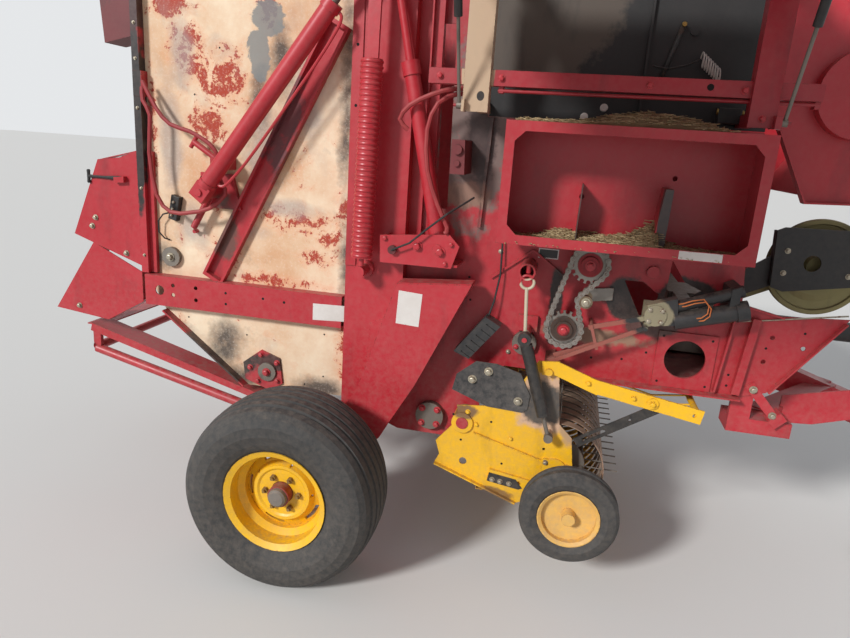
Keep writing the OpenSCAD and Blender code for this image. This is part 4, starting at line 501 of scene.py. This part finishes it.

# Tailgate frame: channels folded from sheet steel, welded round the side sheets and sprayed red. Their
# rear edge is painted black, as soot and as the shade on that flange, and the fire left brown clouds on the
# rails.
coat(farm_enamel("sooted_and_shaded_edge_enamel", "#a91a27", "#b42b36", "#a08478", "#2b1e1e", "#5b2a22", dusty=0.36,
                 sooty=0.3, chipped=0.24, rough=0.36, patches=(
                     (-893, 1800, 30, 420, "#1f1a1a", 0.8), (-880, 2250, 60, 120, "#3a1c1d", 0.9),
                     (-240, 1900, 90, 300, "#6b3136", 2.4), (-500, 1330, 60, 130, "#6a4038", 2.0),
                     (-240, 740, 120, 40, "#40201f", 1.6), (-610, 720, 250, 125, "#2b2322", 0.5))),
     "tailgate_frame")

# Rubber T-handle that latches the upper corner shield, stretched over its staple. Strap and handle
# are moulded of matt black rubber, grey with dust.
black_rubber = farm_enamel("moulded_black_rubber", "#1f1f20", "#2b2b2c", "#6b6259", "#101010", "#34302d",
                           dusty=0.35, sooty=0.2, chipped=0.0, rough=0.75)


def round_bar(name, points, radii, mat, body, sides=12):
    """Closed round bar that follows points in space, with a radius in millimetres at each."""
    shape = bmesh.new()
    rings = []
    for i, p in enumerate(points):
        ahead = (points[min(i + 1, len(points) - 1)] - points[max(i - 1, 0)]).normalized()
        u = ahead.cross(Vector((0, 1, 0)) if abs(ahead.y) < 0.9 else Vector((1, 0, 0))).normalized()
        v = ahead.cross(u)
        rings.append([shape.verts.new(p + radii[i] / 1000 * (math.cos(a) * u + math.sin(a) * v))
                      for a in (2 * math.pi * k / sides for k in range(sides))])
    for a, b in zip(rings, rings[1:]):
        for k in range(sides):
            shape.faces.new((a[k], a[(k + 1) % sides], b[(k + 1) % sides], b[k]))
    shape.faces.new(rings[0])
    shape.faces.new(list(reversed(rings[-1])))
    bmesh.ops.recalc_face_normals(shape, faces=shape.faces)
    mesh = bpy.data.meshes.new(name)
    shape.to_mesh(mesh)
    shape.free()
    mesh.materials.append(mat)
    for polygon in mesh.polygons:
        polygon.use_smooth = len(polygon.vertices) == 4
    ridden(name, mesh, body)


strap_route = ((-962, 656, 1517), (-985, 661, 1517), (-1010, 661, 1516), (-1060, 656, 1515),
               (-1120, 653, 1514), (-1140, 653, 1514), (-1150, 653, 1514))
for side, tag in ((-1, "right"), (1, "left")):
    pull = [spot(x, side * y, z) for x, y, z in strap_route]
    round_bar("latch_strap_" + tag, pull, (6, 9, 9, 6, 6, 8, 8), black_rubber, "tailgate")
    bar = [spot(-1148, side * 653, z) for z in (1484, 1488, 1500, 1528, 1540, 1544)]
    round_bar("latch_handle_" + tag, bar, (5, 8, 7, 7, 8, 5), black_rubber, "tailgate")

# Pickup and rims: yellow enamel scorched along the top, grey rubber flaps and a muddy lower edge. The
# small rims of the gauge wheels have faded.
coat(yellow_enamel, "wheel_r", "wheel_l", "windguard")
coat(farm_enamel("faded_rim_enamel", "#e2b45c", "#d4a24c", "#a89078", "#4a3626", "#8f5f40", dusty=0.5,
                 sooty=0.2, chipped=0.32, rough=0.5), "gauge_wheel_r", "gauge_wheel_l")
coat(farm_enamel("scorched_yellow_enamel", "#edb40c", "#dfa917", "#9a8262", "#33271b", "#6e4a24", dusty=0.4,
                 sooty=0.22, chipped=0.28, rough=0.4, patches=(
                     (975, 770, 130, 120, "#c9a487", 1.1), (965, 770, 95, 90, "#474341", 1.3),
                     (1090, 690, 50, 80, "#b08f6c", 1.4), (640, 690, 60, 30, "#7a5a38", 1.8),
                     (740, 335, 160, 30, "#8a6430", 1.8))),
     "pickup_frame")
coat(farm_enamel("burnt_band_enamel", "#8a7668", "#a3806c", "#9a8262", "#241c18", "#6e4a24", dusty=0.4,
                 sooty=0.6, chipped=0.3, rough=0.6, patches=((1000, 330, 300, 110, "#d59b12", 0.7),)),
     "pickup_bands")
coat(farm_enamel("scuffed_black_rubber", "#2a2a2b", "#4a4846", "#8a8078", "#141414", "#57504a", dusty=0.55,
                 sooty=0.2, chipped=0.2, rough=0.8), "pickup_flaps")
coat(black_rubber, "wiring")
bracket_black = farm_enamel("black_sprayed_steel", "#191818", "#242222", "#7f7468", "#0c0c0c", "#4a3a32",
                            dusty=0.35, sooty=0.2, chipped=0.25, rough=0.5)
for side, tag in ((-1, "right"), (1, "left")):
    outline_plate("gauge_arm_bracket_" + tag, ((766, 398), (900, 380), (916, 388), (886, 424), (772, 438)),
                  side, 752, 2, bracket_black, "pickup", 0.6)

# Rolls, rods, tines, gearbox and hitch: turned, drawn, forged and cast steel that has no paint. It
# shows dull grey under grease and soot, with rust in specks.
greasy_steel = farm_enamel("greasy_bare_steel", "#726b63", "#857d74", "#7d7064", "#1a1614", "#6a3d24",
                           dusty=0.5, sooty=0.5, chipped=0.4, rough=0.5)
metallic(greasy_steel, 0.6)
coat(greasy_steel, "tailgate_rolls", "gate_rods", "frame_rolls", "pickup_reel", "lift_rods", "hitch_clevis",
     "jack_leg", "gearbox", "strut_rods_r", "strut_rods_l")

# Roller chain of pressed link plates and pins, and its sprockets, cut from plate and keyed on their
# shafts. Oiled steel worn bright on the link plates, with red hubs and a brass idler nut.
chain_steel = farm_enamel("oiled_chain_steel", "#7a746c", "#97908a", "#7d7064", "#1a1614", "#6a3d24",
                          dusty=0.3, sooty=0.62, chipped=0.3, rough=0.38, patches=(
                              (1074, 1347, 47, 47, "#7c1a22", 0.25), (1004, 1085, 50, 50, "#4a3a33", 0.5),
                              (1004, 1085, 24, 24, "#8a1f26", 0.3), (1076, 1201, 26, 26, "#7a6a56", 0.3)))
metallic(chain_steel, 0.55)
coat(chain_steel, "chain_drive")

# Wheel hubs: a cast barrel sprayed red, a grey pressed cap over its bearing, and greasy nuts that hold
# the rim. The finishes are told apart by their distance from the axle.
coat(farm_enamel("hub_finishes", "#8a6a20", "#7a5c22", "#8a7a6c", "#26201d", "#6a3d24", dusty=0.45, sooty=0.3,
                 chipped=0.3, rough=0.5,
                 patches=((0, 393.5, 52, 52, "#8f2a25", 0.1), (0, 393.5, 38.5, 38.5, "#6e6760", 0.1))),
     "hub_r", "hub_l")

# Belt pulley: cast iron, turned on its rim and face. A passivated coat gives the iron an olive-gold
# colour, dulled by dust and soot.
pulley = farm_enamel("olive_passivated_iron", "#8b8256", "#7a714a", "#8a7a6c", "#26201d", "#5b4a34",
                     dusty=0.4, sooty=0.35, chipped=0.25, rough=0.5)
metallic(pulley, 0.4)
coat(pulley, "drive_pulley")

# Black pieces: moulded plastic housings and shields, and black sprayed steel. The actuator shows cast
# metal and dusty red bars beside its black tubes, and two orange wires loop to its motor.
black_moulding = farm_enamel("black_moulded_plastic", "#1c1c1e", "#2a2a2c", "#7f7468", "#0c0c0c", "#3a3634",
                             dusty=0.35, sooty=0.2, chipped=0.1, rough=0.5)
coat(black_moulding, "controller_box", "pto_shaft", "pto_inner")
coat(farm_enamel("actuator_finishes", "#1c1c1e", "#2a2a2c", "#7f7468", "#0c0c0c", "#3a3634", dusty=0.35,
                 sooty=0.2, chipped=0.1, rough=0.5,
                 patches=((1090, 1030, 215, 160, "#8f4c40", 0.4), (1330, 1190, 62, 60, "#8b8268", 0.6))),
     "twine_actuator")
coat(bracket_black, "lift_springs", "guard_struts", "pto_holder", "strut_barrels_r", "strut_barrels_l")
wire_orange = farm_enamel("moulded_orange_wire", "#c8662c", "#d07c40", "#9a8068", "#5a3420", "#8a5a3a",
                          dusty=0.4, sooty=0.2, chipped=0.0, rough=0.6)
wire_route = ((1398, 745, 1238), (1420, 757, 1246), (1450, 764, 1262), (1488, 764, 1272), (1508, 770, 1250),
              (1506, 776, 1222), (1488, 775, 1204), (1464, 764, 1196))
for number, off in enumerate((0, 9)):
    round_bar("motor_wire_%d" % number, [spot(x + off, -y, z - off) for x, y, z in wire_route],
              [2.6] * len(wire_route), wire_orange, "chassis", 8)

# Cable connector on the tailgate's side sheet: a flat black housing with rounded edges, held by three
# zinc plated screws, and a lead of black rubber that loops down from it.
outline_plate("cable_connector", ((-770, 1356), (-730, 1346), (-710, 1452), (-750, 1462)), -1, 606, 30,
              bracket_black, "tailgate", 3)
for number, (x, z) in enumerate(((-738, 1430), (-744, 1400), (-750, 1372))):
    round_bar("connector_stud_%d" % number, [spot(x, -y, z) for y in (635, 642, 643, 646)], (7, 7, 5, 4),
              zinc, "tailgate", 6)
lead_route = ((-770, 630, 1380), (-795, 634, 1372), (-820, 634, 1340), (-822, 630, 1290), (-800, 620, 1262),
              (-780, 612, 1256))
round_bar("connector_lead", [spot(x, -y, z) for x, y, z in lead_route], [3.5] * len(lead_route), black_rubber,
          "tailgate", 8)

# Hydraulic hoses, each in a sleeve of extruded red rubber and led from fitting to fitting. The sleeve
# is matt, pale with dust on top and darkened by smoke.
red_rubber = farm_enamel("red_hose_sleeve", "#8f2027", "#9e3a3a", "#8a7468", "#241818", "#6b3a34",
                         dusty=0.4, sooty=0.3, chipped=0.1, rough=0.6)
coat(red_rubber, "gate_hoses", "frame_hoses")

# Twine box: a tray folded from sheet steel, sprayed red and bolted to the side frame. Dust lies in it,
# and a dark band runs down each of its two dividers.
coat(farm_enamel("dusty_box_enamel", "#a31a26", "#ad2a35", "#94766a", "#2b1e1e", "#5b2a22", dusty=0.55,
                 sooty=0.22, chipped=0.16, rough=0.36, patches=(
                     (1006, 1560, 10, 170, "#453a38", 0.2, 845, 100),
                     (1303, 1560, 25, 180, "#3c3231", 0.2, 845, 100))),
     "twine_box")

# Straw chaff that lies on the floor of the twine box and on its top: split stems 10 to 40 mm long,
# strewn over heaps of finer, trodden chaff.
straw_tree = bpy.data.node_groups.new("straw_litter", "GeometryNodeTree")
for label, kind in (("Geometry", "NodeSocketGeometry"), ("Stems per Square Metre", "NodeSocketFloat"),
                    ("Stem Length", "NodeSocketFloat"), ("Stem Radius", "NodeSocketFloat"),
                    ("Finish", "NodeSocketMaterial")):
    straw_tree.interface.new_socket(label, in_out="INPUT", socket_type=kind)
straw_tree.interface.new_socket("Geometry", in_out="OUTPUT", socket_type="NodeSocketGeometry")
given = add(straw_tree, "NodeGroupInput")
points = add(straw_tree, "GeometryNodeDistributePointsOnFaces", {"Seed": 7},
             {"Mesh": given.outputs["Geometry"], "Density": given.outputs["Stems per Square Metre"]})
stem = add(straw_tree, "GeometryNodeMeshCone", {"Vertices": 4},
           {"Radius Top": given.outputs["Stem Radius"], "Radius Bottom": given.outputs["Stem Radius"],
            "Depth": given.outputs["Stem Length"]})
lean = add(straw_tree, "FunctionNodeRandomValue",
           {"data_type": "FLOAT_VECTOR", 0: (1.38, -0.2, 0.0), 1: (1.7, 0.2, 6.28), "Seed": 3})
grow = add(straw_tree, "FunctionNodeRandomValue",
           {"data_type": "FLOAT_VECTOR", 0: (0.6, 0.4, 0.35), 1: (1.6, 1.2, 1.4), "Seed": 5})
laid = add(straw_tree, "GeometryNodeInstanceOnPoints", {}, {"Points": points.outputs["Points"],
           "Instance": stem.outputs["Mesh"], "Rotation": lean.outputs[0], "Scale": grow.outputs[0]})
real = add(straw_tree, "GeometryNodeRealizeInstances", {}, {0: laid.outputs[0]})
done = add(straw_tree, "GeometryNodeSetMaterial", {},
           {"Geometry": real.outputs[0], "Material": given.outputs["Finish"]})
add(straw_tree, "NodeGroupOutput", {}, {0: done.outputs[0]})
straw = farm_enamel("split_dry_straw", "#b9a67e", "#8d7b5a", "#cdbb94", "#4a3a24", "#7a6236",
                    dusty=0.3, sooty=0.5, chipped=0.2, rough=0.8)
chaff = farm_enamel("trodden_chaff", "#7d6b4c", "#5f503a", "#a08c66", "#332818", "#7a6236",
                    dusty=0.3, sooty=0.5, chipped=0.4, rough=0.9)
lumps = random.Random(4)
litter = bpy.data.meshes.new("litter_beds")
tops, quads = [], []
steps, deep = 4, 7                          # columns between two crest heights, and rows to the front
# Heaps as (x from, x to, |y| of the back, |y| of the front, floor height, heights along the back)
for x0, x1, y0, y1, z, crest in (
        (745, 1000, 714, 940, 1437, (8, 10, 9, 12, 20, 34, 38, 34)),
        (1012, 1284, 714, 940, 1437, (36, 34, 28, 30, 38, 52, 70, 92)),
        (1322, 1575, 714, 940, 1437, (26, 18, 12, 10, 9, 9, 8, 8)),
        (770, 1000, 714, 925, 1851, (8, 12, 9, 14, 10, 16, 12, 16)),
        (1000, 1450, 714, 925, 1851, (16, 34, 46, 52, 48, 40, 24, 8))):
    first, wide, in_tray = len(tops), steps * (len(crest) - 1) + 1, z < 1800
    for i in range(wide):
        k = min(i // steps, len(crest) - 2)
        share = i / steps - k
        high = crest[k] * (1 - share) + crest[k + 1] * share
        for j in range(deep):
            # In the tray a heap leans on the back wall, on the box it is a low ridge
            fall = 1 - (j / (deep - 1)) ** 1.6 if in_tray else math.sin(math.pi * (j + 0.6) / (deep + 0.2))
            tops.append((spot(x0 + (x1 - x0) * i / (wide - 1), -y0 - (y1 - y0) * j / (deep - 1), z),
                         max(2, high * fall * lumps.uniform(0.86, 1.14)) / 1000))
    for i in range(wide - 1):
        for j in range(deep - 1):
            a = first + i * deep + j
            quads.append((a, a + 1, a + deep + 1, a + deep))
litter.from_pydata([p + Vector((0, 0, h)) for p, h in tops], [], quads)
mound = bmesh.new()
mound.from_mesh(litter)
grown = bmesh.ops.extrude_face_region(mound, geom=mound.faces[:])
mound.verts.ensure_lookup_table()
floor_of = {tuple(round(c, 6) for c in p + Vector((0, 0, h))): p for p, h in tops}
for v in [g for g in grown["geom"] if isinstance(g, bmesh.types.BMVert)]:
    v.co = floor_of[tuple(round(c, 6) for c in v.co)]
bmesh.ops.recalc_face_normals(mound, faces=mound.faces)
heap = bpy.data.meshes.new("chaff_heaps")
mound.to_mesh(heap)
mound.free()
heap.materials.append(chaff)
ridden("chaff_heaps", heap, "chassis")
made_plain("straw_litter", litter, straw_tree, {"Stems per Square Metre": 9000.0, "Stem Length": 0.028,
           "Stem Radius": 0.0016, "Finish": straw}, "chassis")

# Shield frame: posts and a rail of folded sheet steel, sprayed red and scorched. The plain bracket
# at its rear is burnt to tan, with a dark spot low down in it that is painted shadow in a hole.
coat(farm_enamel("scorched_post_enamel", "#951926", "#a32731", "#a08478", "#2b1e1e", "#5b2a22", dusty=0.38,
                 sooty=0.34, chipped=0.24, rough=0.38, patches=(
                     (608, 2150, 62, 420, "#b99f82", 0.12), (625, 1925, 13, 16, "#1b1613", 0.1))),
     "door_frame")

# Plastic plugs, grease block, lever, return spring and its wire on the dark board behind the twine
# box. The plugs are pressed in, the block has a brass bolt, and the spring is wound of 4.8 mm wire.
pale_plastic = farm_enamel("pale_moulded_plastic", "#d4cdc6", "#c2b9b0", "#9a8a7c", "#5c4a40", "#8a7a6c",
                           dusty=0.3, sooty=0.15, chipped=0.0, rough=0.5)
brass = farm_enamel("dull_brass", "#a58a4e", "#8d7440", "#8a7a6c", "#3a2c1a", "#6a4a24", dusty=0.3, sooty=0.3,
                    chipped=0.2, rough=0.4)
metallic(brass, 0.8)
for number, (x, z) in enumerate(((1052, 1925), (984, 1889))):
    round_bar("board_plug_%d" % number, [spot(x, y, z) for y in (-605, -607, -611, -613)], (13, 15, 15, 11),
              pale_plastic, "chassis", 20)
outline_plate("grease_block", ((1445, 1890), (1523, 1890), (1523, 1944), (1445, 1944)), -1, 606, 60,
              bracket_black, "chassis", 3)
round_bar("grease_bolt", [spot(x, -650, 1930) for x in (1440, 1443, 1452, 1455, 1500, 1524, 1528, 1532)],
          (9, 12, 12, 6, 6, 6, 10, 9), brass, "chassis", 6)
points_a_turn, coils, coil_radius = 12, 8, 24
last = points_a_turn * coils
angles = [k * 2 * math.pi / points_a_turn for k in range(last + 1)]
turns = [spot(1363 + 70 * k / last, -640 + coil_radius * math.cos(a),
              2105 - 58 * k / last + coil_radius * math.sin(a))
         for k, a in enumerate(angles)]
round_bar("return_spring", [spot(1363, -606, 2105)] + turns + [spot(1433, -606, 2047)], [2.4] * (last + 3),
          pale_plastic, "chassis", 8)
round_bar("lever_bar", [spot(1290, -612, 2219), spot(1262, -616, 2120), spot(1240, -616, 2040)], (9, 8, 8),
          bracket_black, "chassis")
round_bar("lever_pin", [spot(1290, -y, 2219) for y in (606, 622, 624, 628)], (7, 7, 10, 8), brass, "chassis",
          6)
spring_route = ((1203, 2080), (1215, 2074), (1260, 2070), (1320, 2084), (1363, 2105))
round_bar("spring_wire", [spot(x, -622, z) for x, z in spring_route], [3] * len(spring_route), bracket_black,
          "chassis", 8)
# Pale rod from the actuator to the nose: 6.4 mm zinc plated wire, held by the sheet's edge
round_bar("trip_rod", [spot(x, -612, z) for x, z in ((1593, 1159), (1740, 1184), (1890, 1211), (2030, 1236))],
          [3.2] * 4, zinc, "chassis", 8)

# Tyres: vulcanised rubber, moulded with ribs round the tread and fitted on the rims. The black is
# matt, and field dust greys it.
tyre_rubber = farm_enamel("vulcanised_tyre_rubber", "#2c2c2c", "#3b3a39", "#6b6259", "#141414", "#3c3836",
                          dusty=0.5, sooty=0.15, chipped=0.0, rough=0.72)
coat(tyre_rubber, "tyre_r", "tyre_l", "gauge_tyre_r", "gauge_tyre_l")
